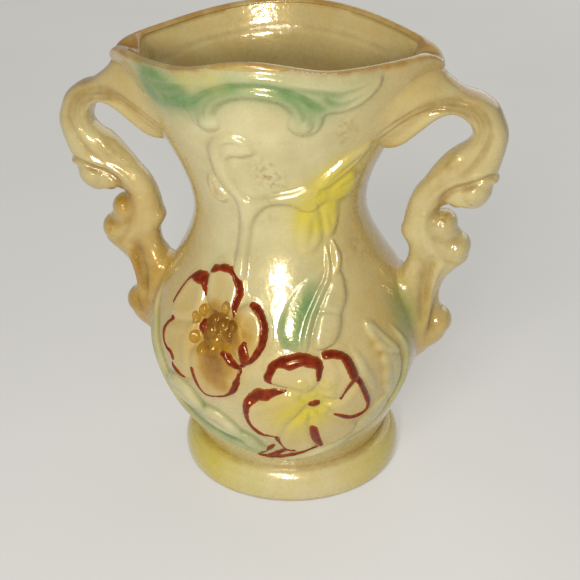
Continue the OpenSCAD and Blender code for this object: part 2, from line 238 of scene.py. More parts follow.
def lustre_glaze(name, pale, deep, gloss=0.25, coat=1.0):
    """Cream lead glaze under a thin gold lustre on cast earthenware. It pools darker in patches of about
    20 mm, shows rosy and grey-green patches 40 mm wide, partly its own tone and partly painted iridescent
    sheen, and iron specks of about 1 mm, and keeps the faint waves of a fired glaze about 6 mm apart. The
    lustre breaks a highlight into gold mottling round a sharp white core."""
    material = bpy.data.materials.new(name)
    material.use_nodes = True
    tree = material.node_tree
    shader = tree.nodes["Principled BSDF"]
    place = add_node(tree, "ShaderNodeTexCoord").outputs["Object"]
    pattern = {}
    for key, (width, detail, rough) in GLAZE_PATTERNS.items():
        inputs = {"Vector": place, "Scale": 1000 / width, "Detail": detail, "Roughness": rough}
        pattern[key] = add_node(tree, "ShaderNodeTexNoise", inputs).outputs["Fac"]

    colour = linear(pale)
    tints = (("pool", 0.36, 0.68, 0.0, 1.0, None, None, deep), *GLAZE_TINTS)
    for key, low, high, least, most, mark, ramp, code in tints:
        inputs = {0: pattern[key], 1: low, 2: high, 3: least, 4: most}
        share = add_node(tree, "ShaderNodeMapRange", inputs).outputs[0]
        if mark:
            amount = add_node(tree, "ShaderNodeAttribute", attribute_name=mark).outputs["Fac"]
            inputs = {0: amount, 1: share}
            share = add_node(tree, "ShaderNodeMath", inputs, operation="MULTIPLY", use_clamp=True).outputs[0]
        if ramp:
            inputs = {0: share, 1: ramp[0], 2: ramp[1], 3: 0.0, 4: ramp[2]}
            share = add_node(tree, "ShaderNodeMapRange", inputs).outputs[0]
        inputs = {0: share, 6: colour, 7: linear(code)}
        colour = add_node(tree, "ShaderNodeMix", inputs, data_type="RGBA").outputs[2]
    tree.links.new(colour, shader.inputs["Base Color"])

    inputs = {"Strength": 0.16, "Distance": 0.0012, "Height": pattern["ripple"]}
    ripple = add_node(tree, "ShaderNodeBump", inputs).outputs[0]
    inputs = {"Strength": 0.3, "Distance": 0.0003, "Height": pattern["mottle"], "Normal": ripple}
    mottle = add_node(tree, "ShaderNodeBump", inputs).outputs[0]
    tree.links.new(mottle, shader.inputs["Normal"])
    tree.links.new(mottle, shader.inputs["Coat Normal"])
    inputs = {0: pattern["grit"], 1: 0.35, 2: 0.65, 3: gloss - 0.08, 4: gloss + 0.12}
    tree.links.new(add_node(tree, "ShaderNodeMapRange", inputs).outputs[0], shader.inputs["Roughness"])
    shader.inputs["IOR"].default_value = 1.6
    shader.inputs["Specular Tint"].default_value = linear("#ffdc90")
    shader.inputs["Coat Weight"].default_value = coat
    shader.inputs["Coat Roughness"].default_value = 0.07
    return material


def lip_wear(angle, below):
    """How thin the glaze is at a height below the rim: a band over the lip with a line at its edge, and wider
    at the mouth's two corners."""
    corner = smooth(0.55, 1, np.abs(np.sin(np.radians(angle))))
    edge = 0.38 * np.exp(-((below / 2.4) ** 4)) + 0.36 * np.exp(-(((below - 0.9) / 0.8) ** 2))
    return np.clip(edge * (1 + 0.1 * corner) + 0.2 * corner * np.exp(-((below / 7) ** 2)), 0, 1)


body_glaze = lustre_glaze("lustre_glaze_body", "#d3c997", "#c0b381")

angles = np.linspace(-180, 180, 321)[:-1]
# At the mouth's corners the lip is higher and stands out, and the clay is thick on the inside.
CORNER_LIP, CORNER_OUT, CORNER_T = 1.8, 2.4, 6.5
lip_h = WALL_T / 2 + CORNER_LIP * at_corner(angles)
top = rim_top(angles) - lip_h
proud = CORNER_OUT * at_corner(angles)


def hollow_at(z, inset, blend=1.2, clear=5.0):
    """Ring of the inner face: the wall's oval, cut off flat at the mouth's two corners by a soft minimum of
    its reach to each side and a limit, which stands clear of it low down and falls towards the rim."""
    ring = wall_at(angles, z, inset)
    limit = through(WIDTH, z) - WALL_T + clear - (clear + CORNER_T) * smooth(34, 5, top - z)
    reach = -blend * np.logaddexp(-np.abs(ring[:, 0]) / blend, -limit / blend)
    ring[:, 0] = np.sign(ring[:, 0]) * reach
    return ring


outer = []
for u in np.linspace(0, 1, 150):
    z = JOINT_H - 1 + u * (top - JOINT_H + 1)
    outer.append(wall_at(angles, z, -proud * smooth(16, 2, top - z)))
edge = hollow_at(top, WALL_T)
middle, half = (outer[-1] + edge) / 2, (outer[-1] - edge) / 2
lip = [middle + half * np.cos(t) + np.outer(lip_h * np.sin(t), [0, 0, 1])
       for t in np.linspace(0, np.pi, 11)[1:-1]]
# The mould's scroll shows inside the back as a shallow step below the rim.
behind = smooth(60, 100, np.abs(angles))
ledge = 9 + 4 * smooth(150, 90, np.abs(angles))
inner = []
for u in np.linspace(1, 0, 110):
    z = FLOOR_H + FLOOR_R + u * (top - FLOOR_H - FLOOR_R)
    inner.append(hollow_at(z, WALL_T - 0.9 * behind * smooth(ledge + 1.2, ledge - 0.4, top - z)))
fillet = [wall_at(angles, FLOOR_H + FLOOR_R * (1 - np.sin(t)), WALL_T + FLOOR_R * (1 - np.cos(t)))
          for t in np.linspace(0, np.pi / 2, 9)[1:]]
floor_in = [(fillet[-1] - [0, 0, FLOOR_H]) * [s, s, 1] + [0, 0, FLOOR_H] for s in (0.8, 0.5, 0.2)]
rings = np.array(outer + lip + inner + fillet + floor_in)
points, faces = skin(rings)
ring = np.concatenate([np.repeat(np.arange(len(rings)), len(angles)), [0, len(rings) - 1]])
turn = np.concatenate([np.tile(angles, len(rings)), [0, 0]])
below = rim_top(turn) - points[:, 2]
inside = ring > len(outer) + len(lip) // 2 + 1
marks = {key: sprayed(points, puffs) * ~inside for key, puffs in SPRAY.items()}
# tan: the flanks' share is partly painted shade; inside and on the lip it is a flat tan
marks["warm"] = np.where(inside, 0.55, flank_tan_and_shade(points))
marks["warm"] = np.maximum(marks["warm"], 0.9 * np.exp(-((below / 3) ** 4)))
ledge = np.tile(ledge + lip_h, len(rings))
# a grey-brown line at the foot of the inner step: pooled glaze and painted shade
marks["crease"] = np.append(np.exp(-(((below[:-2] - ledge) / 0.9) ** 2)), [0, 0]) * inside * 0.5
marks["worn"] = lip_wear(turn, below)
add_piece("cast_wall", points, faces, body_glaze, "body_glaze", ["body_wall"], **marks)

# Foot: a full, rounded oval base of the same clay, turned in under the wall and hollow underneath.
# Its lustre turns yellow towards both sides, and the ring on the table is bare.

foot_glaze = lustre_glaze("lustre_glaze_foot", "#dccfa2", "#d2c17c")
FOOT_W, FOOT_D = 50.5, 45.0
# Profile from the hollow underneath to the top: distance in from the widest line, and height.
under = [(13, 8), (10.4, 7.6), (9.4, 0.4), (9, 0), (1.4, 0), (0.7, 0.4), (0.35, 1.2), (0.12, 2.4),
         (0.02, 3.8)]
quarter = np.radians(np.linspace(0, 90, 26))
swell = np.stack([6.5 * (1 - np.cos(quarter)), 5 + 10 * np.sin(quarter)], -1)
profile = np.array(under + swell.tolist() + [(9.5, 14.6)])
turn = np.radians(angles)
inset, height = profile.T
rings = np.stack([np.outer(FOOT_W - inset, np.sin(turn)), -np.outer(FOOT_D - inset, np.cos(turn)),
                  np.repeat(height[:, None], len(turn), 1)], -1)
points, faces = skin(rings)
worn = np.exp(-((points[:, 2] / 1.2) ** 2)) + 0.4 * np.exp(-(((points[:, 2] - 14.8) / 0.6) ** 2))
across = points[:, 0] * np.sign(-points[:, 1])
yellow = 0.8 * smooth(12, -35, across) + 0.5 * smooth(22, 45, across)
add_piece("foot", points, faces, foot_glaze, "foot_glaze", ["foot_ring"],
          worn=worn, warm=0 * worn, yellow=yellow)

# Handles: two acanthus scrolls, each cast in its own small mould and luted to the wall with slip.
# A rolled strap leaves the rim's corner, bends to a curled hook and runs by a double knob to the belly.
# Amber glaze pools between the knobs; the grey-brown and amber along the creases is pooled glaze and painted
# shade.

handle_glaze = lustre_glaze("lustre_glaze_handles", "#d3c997", "#c0b381")
# Thickness of the strap, the height between its upper and its lower root, how far it goes into the wall,
# the height above which it stays as crisp as the rim's corner, and the size of a cell when it is fused.
HANDLE_T, PART_H, INTO_WALL, CRISP_H, CELL = 17.0, 130.0, 2.4, 187.0, 0.62
# Inner edge: distance out from the wall and height; the same of the outer edge; share of the thickness.
STRAP = np.array([
    (-3, 155, -3, 189, 0.9), (3.5, 157.5, 2, 187, 1), (6, 162, 6.5, 183.8, 1), (8.5, 168.5, 15, 179.3, 1),
    (13, 171, 23, 177, 1), (19.5, 169.5, 31, 173, 0.95), (25.3, 165.5, 37, 168, 0.9),
    (29.5, 161, 44, 160.5, 0.9), (29.5, 157, 48, 151, 0.9), (25.5, 152.5, 49.5, 142, 0.9),
    (23.5, 147.5, 50, 134.5, 0.8), (22.5, 144, 47.5, 130, 0.8), (21.5, 140.5, 43, 129, 0.8),
    (19.5, 136.5, 35.5, 131, 0.75), (18, 132, 30, 127.5, 0.7), (16.5, 127, 33, 124.5, 0.8),
    (14.5, 121.5, 36.5, 119, 0.85), (12, 117, 37, 111, 0.9), (12, 110.5, 34, 105.5, 0.9),
    (8, 104, 27, 101, 0.8), (1.5, 98, 19.5, 96, 0.8), (-2.5, 89, 13, 89, 0.7), (-4.5, 81.5, 10, 82, 0.7),
    (-5.5, 73, 12, 74, 0.75), (-5, 65.5, 10, 66, 0.7), (-3.5, 59, 5, 60, 0.5), (-1, 53, 2.5, 53, 0.25)])


def curve(rows, steps):
    """Smooth curve through rows: the Catmull-Rom cubic between each two of them."""
    rows = np.asarray(rows, float)
    ends = np.concatenate([rows[:1], rows, rows[-1:]])
    t = (np.arange(steps) / steps)[None, :, None]
    a, b, c, d = (ends[i:len(rows) - 1 + i, None] for i in range(4))
    mid = 0.5 * (2 * b + (c - a) * t + (2 * a - 5 * b + 4 * c - d) * t**2 + (3 * b - a - 3 * c + d) * t**3)
    return np.concatenate([mid.reshape(-1, rows.shape[1]), rows[-1:]])


def off_wall(out, depth, z):
    """Points beside the wall's right side, from distances out from it, depths and heights."""
    out, depth, z = np.broadcast_arrays(out, depth, np.asarray(z, float))
    return np.stack([through(WIDTH, z) + out, depth, z], -1)


def facing(angle, z):
    """Direction that the wall faces: the cross product of a step round it and a step up it."""
    round_it = wall_at(angle + 1, z) - wall_at(angle - 1, z)
    up_it = wall_at(angle, z + 1) - wall_at(angle, z - 1)
    n = np.cross(round_it, up_it)
    return n / np.linalg.norm(n, axis=-1, keepdims=True)


def wall_x(y, z):
    """Distance of the wall's right side from the middle plane, at a depth and a height: the wall's formula
    for depth, solved for its cosine by Newton's steps."""
    pinch = pinch_at(z)
    share = np.minimum(1, np.abs(y) / through(DEPTH, z))
    c = share ** (1 / (1 + 2 * pinch))
    for step in range(6):
        g = ((c * c + BLUNT) / (1 + BLUNT)) ** pinch
        c = c - (c * g - share) / (g * (1 + 2 * pinch * c * c / (c * c + BLUNT)))
    return through(WIDTH, z) * np.sqrt(np.clip(1 - c * c, 0, 1))


def roll(rows, steps=6, around=20):
    """Round roll of clay along a curve through rows of distance out from the wall, depth, height and radius.
    Each ring lies square to the path, set out by the path's direction and the depth axis."""
    rows = curve(rows, steps)
    path = off_wall(*rows[:, :3].T)
    ahead = np.gradient(path, axis=0)
    ahead /= np.linalg.norm(ahead, axis=1, keepdims=True)
    side = np.cross(ahead, [0, 1, 0.02])
    side /= np.linalg.norm(side, axis=1, keepdims=True)
    t = np.linspace(0, 2 * np.pi, around + 1)[None, :-1, None]
    ring = np.cos(t) * side[:, None] + np.sin(t) * np.cross(side, ahead)[:, None]
    return skin(path[:, None] + rows[:, 3, None, None] * ring)


def bulb(out, z, radius, depth):
    """Ball of clay through the handle: circles across it that shrink like a round end."""
    k = np.linspace(-0.98, 0.98, 15)
    return roll(np.stack([out + 0 * k, depth * k, z + 0 * k, radius * np.sqrt(1 - k**2)], -1), 1)


rows = curve(STRAP, 8)
low, high = off_wall(rows[:, 0], 0, rows[:, 1]), off_wall(rows[:, 2], 0, rows[:, 3])
t = -np.linspace(0, 2 * np.pi, 97)[:-1]
c, s = np.cos(t), np.sin(t)
c, s = np.sign(c) * np.abs(c) ** 0.85, np.sign(s) * np.abs(s) ** 0.85
strap = (low + high)[:, None] / 2 + (high - low)[:, None] / 2 * c[None, :, None]
half = HANDLE_T / 2 * rows[:, 4, None]
strap[..., 1] += half * s
# Both ends spread on the wall where they are luted on: they leave it as a hollow sweep and follow it round.
z = strap[..., 2]
middle = through(WIDTH, z)
out = np.maximum(strap[..., 0] - middle, 0)
sweep = np.where(z > PART_H, 12 + 11 * smooth(148, 170, z), 4 + 12 * smooth(52, 80, z))
strap[..., 1] *= 1 + (sweep / half - 1) * (1 - np.sqrt(np.minimum(out / 16, 1))) ** 1.5
strap[..., 0] -= (middle - wall_x(strap[..., 1], z)) * np.exp(-out / 12)
parts = [skin(strap)]
for side in (-1, 1):
    # rolled inner leaf along the underside of the arch, with a hanging tip on the wall
    parts.append(roll([(-1, 7 * side, 156.5, 2.4), (2, 8 * side, 160, 3), (4.5, 8.4 * side, 165.5, 3.1),
                       (8.3, 8.2 * side, 171.3, 2.7), (13.5, 7.6 * side, 173.4, 2.4),
                       (20, 6.8 * side, 171.3, 2), (26, 5 * side, 167, 1.4)]))
# hook's curl, the two balls of the knob, the lower lobe, the leaf tip behind the hook and the rim's corner
for out, z, radius, depth in ((42.5, 137.5, 7.6, 8.5), (37, 133.5, 4.6, 6.5), (31, 121, 5.8, 7.5),
                              (32.3, 111, 6, 7.7), (6.5, 74, 6.8, 7.6), (48.6, 142.5, 2.2, 5),
                              (0.3, 184, 3.4, 5.5)):
    parts.append(bulb(out, z, radius, depth))
# slip that fills the corners between the handle and the wall: thin skins just under the wall's face
for z0, z1 in ((46, 108), (146, 185)):
    a, z = np.meshgrid(np.linspace(56, 124, 70), np.linspace(z0, z1, 70))
    pad = [wall_at(a, z) - deep * facing(a, z) for deep in (0.55, 2.6)]
    parts.append(skin(np.concatenate([pad[0], pad[1][:, ::-1]], 1)))


def fused(parts, cell):
    """Closed parts joined into one surface by a voxel remesh with cells of that size in mm."""
    mesh = bpy.data.meshes.new("fused")
    counts = np.cumsum([0] + [len(p) for p, f in parts])
    faces = [[i + n for i in q] for n, (p, f) in zip(counts, parts) for q in outward(p, f)]
    mesh.from_pydata((np.concatenate([p for p, f in parts]) / 1000).tolist(), [], faces)
    raw = bpy.data.objects.new("fused", mesh)
    scene.collection.objects.link(raw)
    remesh = raw.modifiers.new("remesh", "REMESH")
    remesh.mode, remesh.voxel_size = "VOXEL", cell / 1000
    done = bpy.data.meshes.new_from_object(raw.evaluated_get(bpy.context.evaluated_depsgraph_get()))
    points = np.empty(len(done.vertices) * 3)
    done.vertices.foreach_get("co", points)
    quads = np.empty(len(done.loops), int)
    done.loops.foreach_get("vertex_index", quads)
    bpy.data.objects.remove(raw)
    bpy.data.meshes.remove(done)
    return points.reshape(-1, 3) * 1000, quads.reshape(-1, 4)


def eased(points, quads, rounds, amount=0.5, swell=0.0):
    """Surface softened as wet clay is: each point moves towards the mean of its neighbours, round after
    round, and after each round moves back by the swell, which keeps the volume."""
    i = np.concatenate([quads.T.ravel(), np.roll(quads, -1, 1).T.ravel()])
    j = np.concatenate([np.roll(quads, -1, 1).T.ravel(), quads.T.ravel()])
    n = np.bincount(i, minlength=len(points))[:, None]
    steps = [amount, -swell] if swell else [amount]
    for step in steps * rounds:
        mean = np.stack([np.bincount(i, points[j, k], len(points)) for k in range(3)], -1) / n
        points = points + np.reshape(step, (-1, 1)) * (mean - points)
    return points


def along(u, v, rows, reach=12.0):
    """Nearest point of a curve through rows of place, place and more values, for each point within reach of
    it. Gives the distance and the other values there."""
    rows = curve(rows, 8)
    best = np.full(u.shape, 1e9)
    rest = np.ones(u.shape + (rows.shape[1] - 2,))
    (u0, v0), (u1, v1) = rows[:, :2].min(0) - reach, rows[:, :2].max(0) + reach
    box = (u > u0) & (u < u1) & (v > v0) & (v < v1)
    u, v, b, r = u[box], v[box], best[box], rest[box]
    for p, d in zip(rows[:-1], np.diff(rows, axis=0)):
        t = np.clip(((u - p[0]) * d[0] + (v - p[1]) * d[1]) / max(d[0] ** 2 + d[1] ** 2, 1e-9), 0, 1)
        gap = np.hypot(u - p[0] - t * d[0], v - p[1] - t * d[1])
        near = gap < b
        b = np.where(near, gap, b)
        r = np.where(near[:, None], p[2:] + t[:, None] * d[2:], r)
    best[box], rest[box] = b, r
    return best, rest


points, faces = fused(parts, CELL)
points = eased(points, faces, 8, 0.5, 0.48)
off = points[:, 0] - wall_x(points[:, 1], points[:, 2])
amount = 0.5 * np.exp(-((np.maximum(off, 0) / 6) ** 2)) * smooth(CRISP_H, CRISP_H - 6, points[:, 2])
points = eased(points, faces, 140, amount)
# The slip runs out on the wall: close to it the clay's height over it falls off as a square.
near = np.maximum(points[:, 0] - wall_x(points[:, 1], points[:, 2]), 0)
points[:, 0] -= near * (1 - np.minimum(near / 3, 1)) * smooth(CRISP_H + 1, CRISP_H - 5, points[:, 2])
# Nothing of it reaches through the wall to the inside.
points[:, 0] = np.maximum(points[:, 0], wall_x(points[:, 1], points[:, 2]) - INTO_WALL)
# Creases and ridges pressed by the mould into both faces: rows of distance out, height, half width and depth.
CUTS = [
    [(-6, 161, 0.8, 0.2), (-3, 166.5, 0.8, 0.7), (1.5, 171.5, 0.8, 0.9), (8, 173.8, 0.8, 1),
     (15.7, 173.3, 0.8, 1), (22.5, 170.8, 0.8, 0.8), (29.5, 165, 0.8, 0.5), (32.5, 159, 0.8, 0.2)],
    [(-8, 164.5, 0.8, 0.1), (-4, 170, 0.8, 0.6), (1.5, 174.6, 0.8, 0.8), (8.5, 176, 0.8, 0.9),
     (16.5, 175.2, 0.8, 0.9), (24.5, 172, 0.8, 0.8), (31, 166.3, 0.8, 0.7), (34.5, 159, 0.9, 0.3)],
    [(0, 176, 1, 0.1), (6, 177.6, 1, 0.5), (13, 177.3, 1, 0.7), (20, 175.5, 1, 0.8),
     (27.5, 171.8, 1, 0.8), (34.5, 165.5, 1.1, 0.8), (37.5, 157, 1.2, 0.8), (37, 149, 1.2, 0.6),
     (34, 143.5, 1, 0.2)],
    [(50, 143.5, 1.2, 0.8), (46, 144.5, 1.3, 1.2), (40, 141.3, 1.4, 1.5), (34.5, 138.8, 1.4, 1.5),
     (31.5, 135.5, 1.3, 1.4), (31, 130.5, 1.2, 0.6)],
    [(45, 147.5, 1.6, -0.3), (39, 144.6, 1.6, -0.8), (33, 142, 1.6, -0.9), (28, 137, 1.7, -0.8),
     (25.5, 130, 1.7, -0.6), (23.5, 122, 1.7, -0.5), (21, 113, 1.6, -0.4)],
    [(28, 157, 1.5, -0.2), (29.5, 151, 1.6, -0.7), (27, 145, 1.6, -0.7), (23, 138, 1.5, -0.2)],
    [(33, 128, 1.2, 0.3), (29.5, 127.3, 1.4, 0.5), (26.5, 124, 1.6, 0.5), (26.3, 119.5, 1.6, 0.4),
     (29.5, 116, 1.3, 0.5), (34.5, 115.7, 1.2, 0.6), (38, 116.5, 1, 0.4)],
    [(26.5, 117, 1, 0.3), (25.8, 112, 1.2, 0.4), (27, 107, 1.2, 0.4), (30, 104.5, 1, 0.2)],
    [(25, 106, 1.3, -0.5), (20, 102, 1.3, -1.6), (14.5, 96.3, 1.3, -2.2), (9.3, 89.5, 1.3, -2.2),
     (5, 81, 1.3, -1.6), (3, 74, 1.2, -0.5)],
    [(21, 108, 1.6, 0.4), (15.5, 102, 1.8, 0.9), (10, 95, 1.8, 1.1), (5.5, 87, 1.7, 0.9), (2, 79, 1.4, 0.4)],
    [(13, 90, 1.3, 0.4), (8, 81.5, 1.7, 1.4), (4.6, 74, 1.6, 1), (3, 67, 1.3, 0.3)],
]
a, b, c, d = (points[faces[:, k]] for k in range(4))
n = np.cross(c - a, d - b)
normal = np.stack([np.bincount(faces.ravel(), np.repeat(n[:, k], 4), len(points)) for k in range(3)], -1)
normal /= np.linalg.norm(normal, axis=1, keepdims=True)
if (points * normal).sum() < 0:
    normal = -normal
# Along the mould's cuts the glaze pools, and the grey-brown and amber laid there also paint the shade in
# them.
cut, pool_and_shade = np.zeros(len(points)), np.zeros(len(points))
for path in CUTS:
    gap, rest = along(points[:, 0] - through(WIDTH, points[:, 2]), points[:, 2], path)
    bell = np.exp(-((gap / rest[:, 0]) ** 2))
    cut += rest[:, 1] * bell
    pool_and_shade += np.clip(rest[:, 1], 0, 1) * np.exp(-((gap / (rest[:, 0] + 0.6)) ** 2))
flat = smooth(0.15, 0.7, np.abs(normal[:, 1]))
points = points - normal * (cut * flat)[:, None]
points = eased(points, faces, 2, 0.5, 0.45)
pool_and_shade = np.clip(pool_and_shade, 0, 1) * flat
# Amber spots on both faces of each handle: distance out, depth, height, reach in mm and strength.
puffs = np.zeros(len(points))
for out, depth, z, reach, strength in (
    (31, -7, 124, 4, 0.12), (33, -7, 113.5, 4, 0.15), (8, -6, 76, 4, 0.12), (29, -7, 150, 5, 0.15),
    (26, -7, 142, 5, 0.1), (33, -5, 129, 5, 0.25), (17, -6, 104, 5, 0.12),
):
    spot = off_wall(out, depth, z)
    d2 = np.minimum(((points - spot) ** 2).sum(1), ((points * [1, -1, 1] - spot) ** 2).sum(1))
    puffs += strength * np.exp(-d2 / reach**2)
# The glaze is thin on the strap's top edge and at the rim's corner, and the left handle alone turns amber
# towards its lower part.
z = points[:, 2]
outward_up = 0.6 * normal[:, 0] + 0.8 * normal[:, 2]
ridge = smooth(0.6, 0.2, np.abs(normal[:, 1])) * smooth(0.3, 0.7, outward_up) * smooth(145, 165, z)
corner = smooth(6, 0, points[:, 0] - through(WIDTH, z)) * lip_wear(90, rim_top(90) - z)
worn = np.clip(corner + 0.7 * ridge, 0, 1)
run = 0.22 * smooth(140, 125, z) + 0.14 * smooth(115, 98, z)
# Creases get amber and grey-brown from the cuts: pooled glaze and painted shade.
for side, name in ((1, "right_handle"), (-1, "left_handle")):
    amber = np.clip(0.15 * pool_and_shade + puffs + run * (side < 0), 0, 0.9)
    add_piece("scroll_" + name, points * [side, 1, 1], faces.tolist(), handle_glaze, "handle_glaze", [name],
              amber=amber, stain=np.clip(3 * puffs, 0, 0.8), crease=0.7 * pool_and_shade, worn=worn)

# Sprigs: the flowers, leaves and scrolls are cut into the wall's mould, so they rise from it with soft edges.
# Each is a low field of clay over a window of the wall; the back carries the front's, turned half round.
# Glaze pools grey-brown along the foot of every edge, and that grey-brown also paints the shade there.

# How far a sprig's top lies over the wall's face, and how far its border sinks from there, in mm.
LIFT, SINK = 0.03, 0.08


def window(a0, a1, z0, z1, step=0.4, middle=(0, 0)):
    """Even grid over a part of the wall: its angles and heights, the mm on the wall of one of each, and its
    places in those mm from the middle."""
    am, zm = (a0 + a1) / 2, (z0 + z1) / 2
    per_a = np.linalg.norm(wall_at(am + 0.5, zm) - wall_at(am - 0.5, zm))
    per_z = np.linalg.norm(wall_at(am, zm + 0.5) - wall_at(am, zm - 0.5))
    a, z = np.meshgrid(np.arange(a0, a1, step / per_a), np.arange(z0, z1, step / per_z))
    return a, z, np.array([per_a, per_z]), (a - middle[0]) * per_a, (z - middle[1]) * per_z


def within(u, v, outline, mm=(1, 1)):
    """Distance in from a smooth closed outline for each grid point, and 0 outside it.
    A point is inside where a line to the right of it crosses the outline an odd number of times."""
    rows = np.array([*outline, outline[0]]) * mm
    gap = along(u, v, rows, 3.0)[0]
    odd = np.zeros(u.shape, bool)
    rows = curve(rows, 8)
    for (u0, v0), (u1, v1) in zip(rows[:-1], rows[1:]):
        if v0 != v1:
            odd ^= ((v0 > v) != (v1 > v)) & (u < (u1 - u0) * (v - v0) / (v1 - v0) + u0)
    return np.where(odd, gap, 0)


def shoulder(d, height, width):
    """Quarter-round edge: from nothing at the outline to the full height at that width in from it."""
    return height * np.sqrt(1 - (1 - np.clip(d / width, 0, 1)) ** 2)


def rolled(gap, half, power=0.75):
    """Round section: highest in the middle, falling to nothing at the half width."""
    return np.clip(1 - (gap / np.maximum(half, 1e-3)) ** 2, 0, 1) ** power


def softened(h, cells):
    """Field blurred by a bell of that many cells, rows then columns, as glaze rounds an edge."""
    k = np.arange(-int(3 * cells) - 1, int(3 * cells) + 2)
    w = np.exp(-0.5 * (k / cells) ** 2)
    w /= w.sum()
    for axis in (0, 1):
        pad = [(0, 0), (0, 0)]
        pad[axis] = (len(k) // 2, len(k) // 2)
        wide = np.pad(h, pad, mode="edge")
        n = h.shape[axis]
        h = sum(f * np.take(wide, np.arange(i, i + n), axis) for i, f in enumerate(w))
    return h


def raised(a, z, base, height, shown, depth=0.8):
    """Closed thin solid on the wall where shown is true: a top grid, a bottom grid and side faces.
    Its border sinks just under the wall's face, so that no edge of it shows."""
    n = facing(a, z)
    at = wall_at(a, z)
    sink = SINK * smooth(0.98, 0.6, softened(shown * 1.0, 1.3))
    up = at + (base + height + LIFT - sink)[..., None] * n
    down = at - depth * n
    cell = shown[:-1, :-1] | shown[1:, :-1] | shown[:-1, 1:] | shown[1:, 1:]
    k = np.arange(a.size).reshape(a.shape)
    q = np.stack([k[:-1, :-1], k[:-1, 1:], k[1:, 1:], k[1:, :-1]], -1)
    pad = np.pad(cell, 1)
    faces = [q[cell], q[cell][:, ::-1] + a.size]
    for (di, dj), (e0, e1) in (((-1, 0), (0, 1)), ((0, 1), (1, 2)), ((1, 0), (2, 3)), ((0, -1), (3, 0))):
        e = q[cell & ~pad[1 + di:1 + di + cell.shape[0], 1 + dj:1 + dj + cell.shape[1]]]
        faces.append(np.stack([e[:, e1], e[:, e0], e[:, e0] + a.size, e[:, e1] + a.size], -1))
    faces = np.concatenate(faces)
    used, index = np.unique(faces, return_inverse=True)
    points = np.concatenate([up.reshape(-1, 3), down.reshape(-1, 3)])[used]
    return points, index.reshape(faces.shape).tolist(), used % a.size


def add_sprig(node, a, z, base, field, material, slot, edge=0.34, **marks):
    """Front sprig and its twin on the back, turned half round. The crease mark is high where the field lies
    lower than its own blur, which is along the foot of an edge, and paints pooled glaze and shade there;
    sprays are added to those of the wall."""
    # crease: pooled glaze and painted shade along the foot of each edge
    marks["crease"] = edge * np.clip((softened(base + field, 3.2) - base - field) / 0.7, 0, 1)
    shown = (field > 0.03) | ((marks["crease"] > 0.03) & (base == 0))
    points, faces, used = raised(a, z, base, field, shown)
    marks = {key: value.ravel()[used] for key, value in marks.items()}
    for key in set(marks) & set(SPRAY):
        marks[key] = np.clip(marks[key] + sprayed(points, SPRAY[key]), 0, 1)
    for end, side in (("front_", 1), ("back_", -1)):
        turned = points * [side, side, 1]
        add_piece("sprig_" + end + node, turned, faces, material, slot, [end + node], **marks)


def carved(u, v, mm, cuts):
    """Depth of smooth cuts, each a curve through rows of angle, height, and half width and depth in mm."""
    total = np.zeros(u.shape)
    for rows in cuts:
        gap, rest = along(u, v, np.array(rows) * [*mm, 1, 1], 5.0)
        total += rest[..., 1] * np.exp(-((gap / rest[..., 0]) ** 2))
    return total


# Rim scroll: a valance under the rim, cut to an arch with a feathered wing and a ball at each end.
# It is moulded with the wall and sprayed green, strongest on the left wing and fading to the right.

scroll_glaze = lustre_glaze("lustre_glaze_scroll", "#d3cb9b", "#c0b785")
a, z, mm, u, v = window(-50, 50, 165, 197.5)
outline = [(-43.5, 190), (-41.5, 187), (-39, 183.5), (-36, 180.8), (-31, 179.5), (-26.5, 179.8),
           (-25.7, 177), (-24.8, 174), (-22, 171.5), (-18.5, 170.8), (-14.5, 172.5), (-12.8, 176),
           (-14.2, 179.5), (-14.8, 182), (-12.5, 184.3), (-8.5, 186.5), (-3, 187.6), (4, 187), (9.5, 185),
           (12.8, 182), (13, 178.5), (12.4, 175), (15, 172), (19.5, 170.5), (23.5, 171.5), (25.5, 174.5),
           (26, 178.7), (30.5, 178.8), (34.5, 179.5), (39.5, 181.5), (43, 185), (44.5, 188.5),
           (43.5, 192), (40, 195.5), (30, 206), (0, 210), (-30, 206), (-42, 198)]
field = shoulder(within(u, v, outline, mm), 1.7, 2.4)
roll_edge = np.array([(-17.5, 175.5), (-15.7, 181), (-11.5, 185.6), (-4, 188.7), (4, 188.4),
                      (10.5, 186.4), (15, 182), (17.5, 175.5)])
gap, rest = along(u, v, roll_edge * mm)
field = np.maximum(field, 2.7 * rolled(gap, 2.6))
for ball in ((-18.5, 175.5), (18.8, 175)):
    field = np.maximum(field, 3.3 * rolled(np.hypot(u - ball[0] * mm[0], v - ball[1] * mm[1]), 4.6, 0.7))
cuts = carved(u, v, mm, [
    [(-28, 183, 1, 0.1), (-21, 184, 1, 0.7), (-16.5, 187, 1, 0.9), (-11, 190, 1, 0.9), (-5, 191.8, 1, 0.8),
     (2, 192, 1, 0.8), (9.5, 190.5, 1, 0.9), (16, 187.5, 1.1, 0.9), (21, 183.5, 1.1, 0.9), (25, 181, 1, 0.4)],
    [(-42, 188.8, 0.9, 0.6), (-37, 187, 1, 1.2), (-31, 187.5, 1, 1.1), (-25, 189, 1, 0.7),
     (-20, 190.5, 1, 0.1)],
    [(-41, 186.5, 0.9, 0.5), (-38, 183.7, 0.9, 1.1), (-32, 183.5, 1, 1.1), (-26, 186, 1, 0.7),
     (-21.5, 188.5, 1, 0.1)],
    [(12, 191, 1, 0.2), (17.5, 189.5, 1, 0.6), (24, 188, 1, 0.7), (29.5, 186.5, 1, 0.8), (35, 187.5, 1, 0.7),
     (41, 189.5, 1, 0.2)],
    [(24.5, 186, 0.9, 0.4), (28, 183.5, 1, 0.8), (33, 182.5, 1, 0.8), (38.5, 185.5, 0.9, 0.2)],
    [(28, 192, 0.9, 0.1), (34, 191, 0.9, 0.5), (40.5, 191.8, 0.9, 0.2)]])
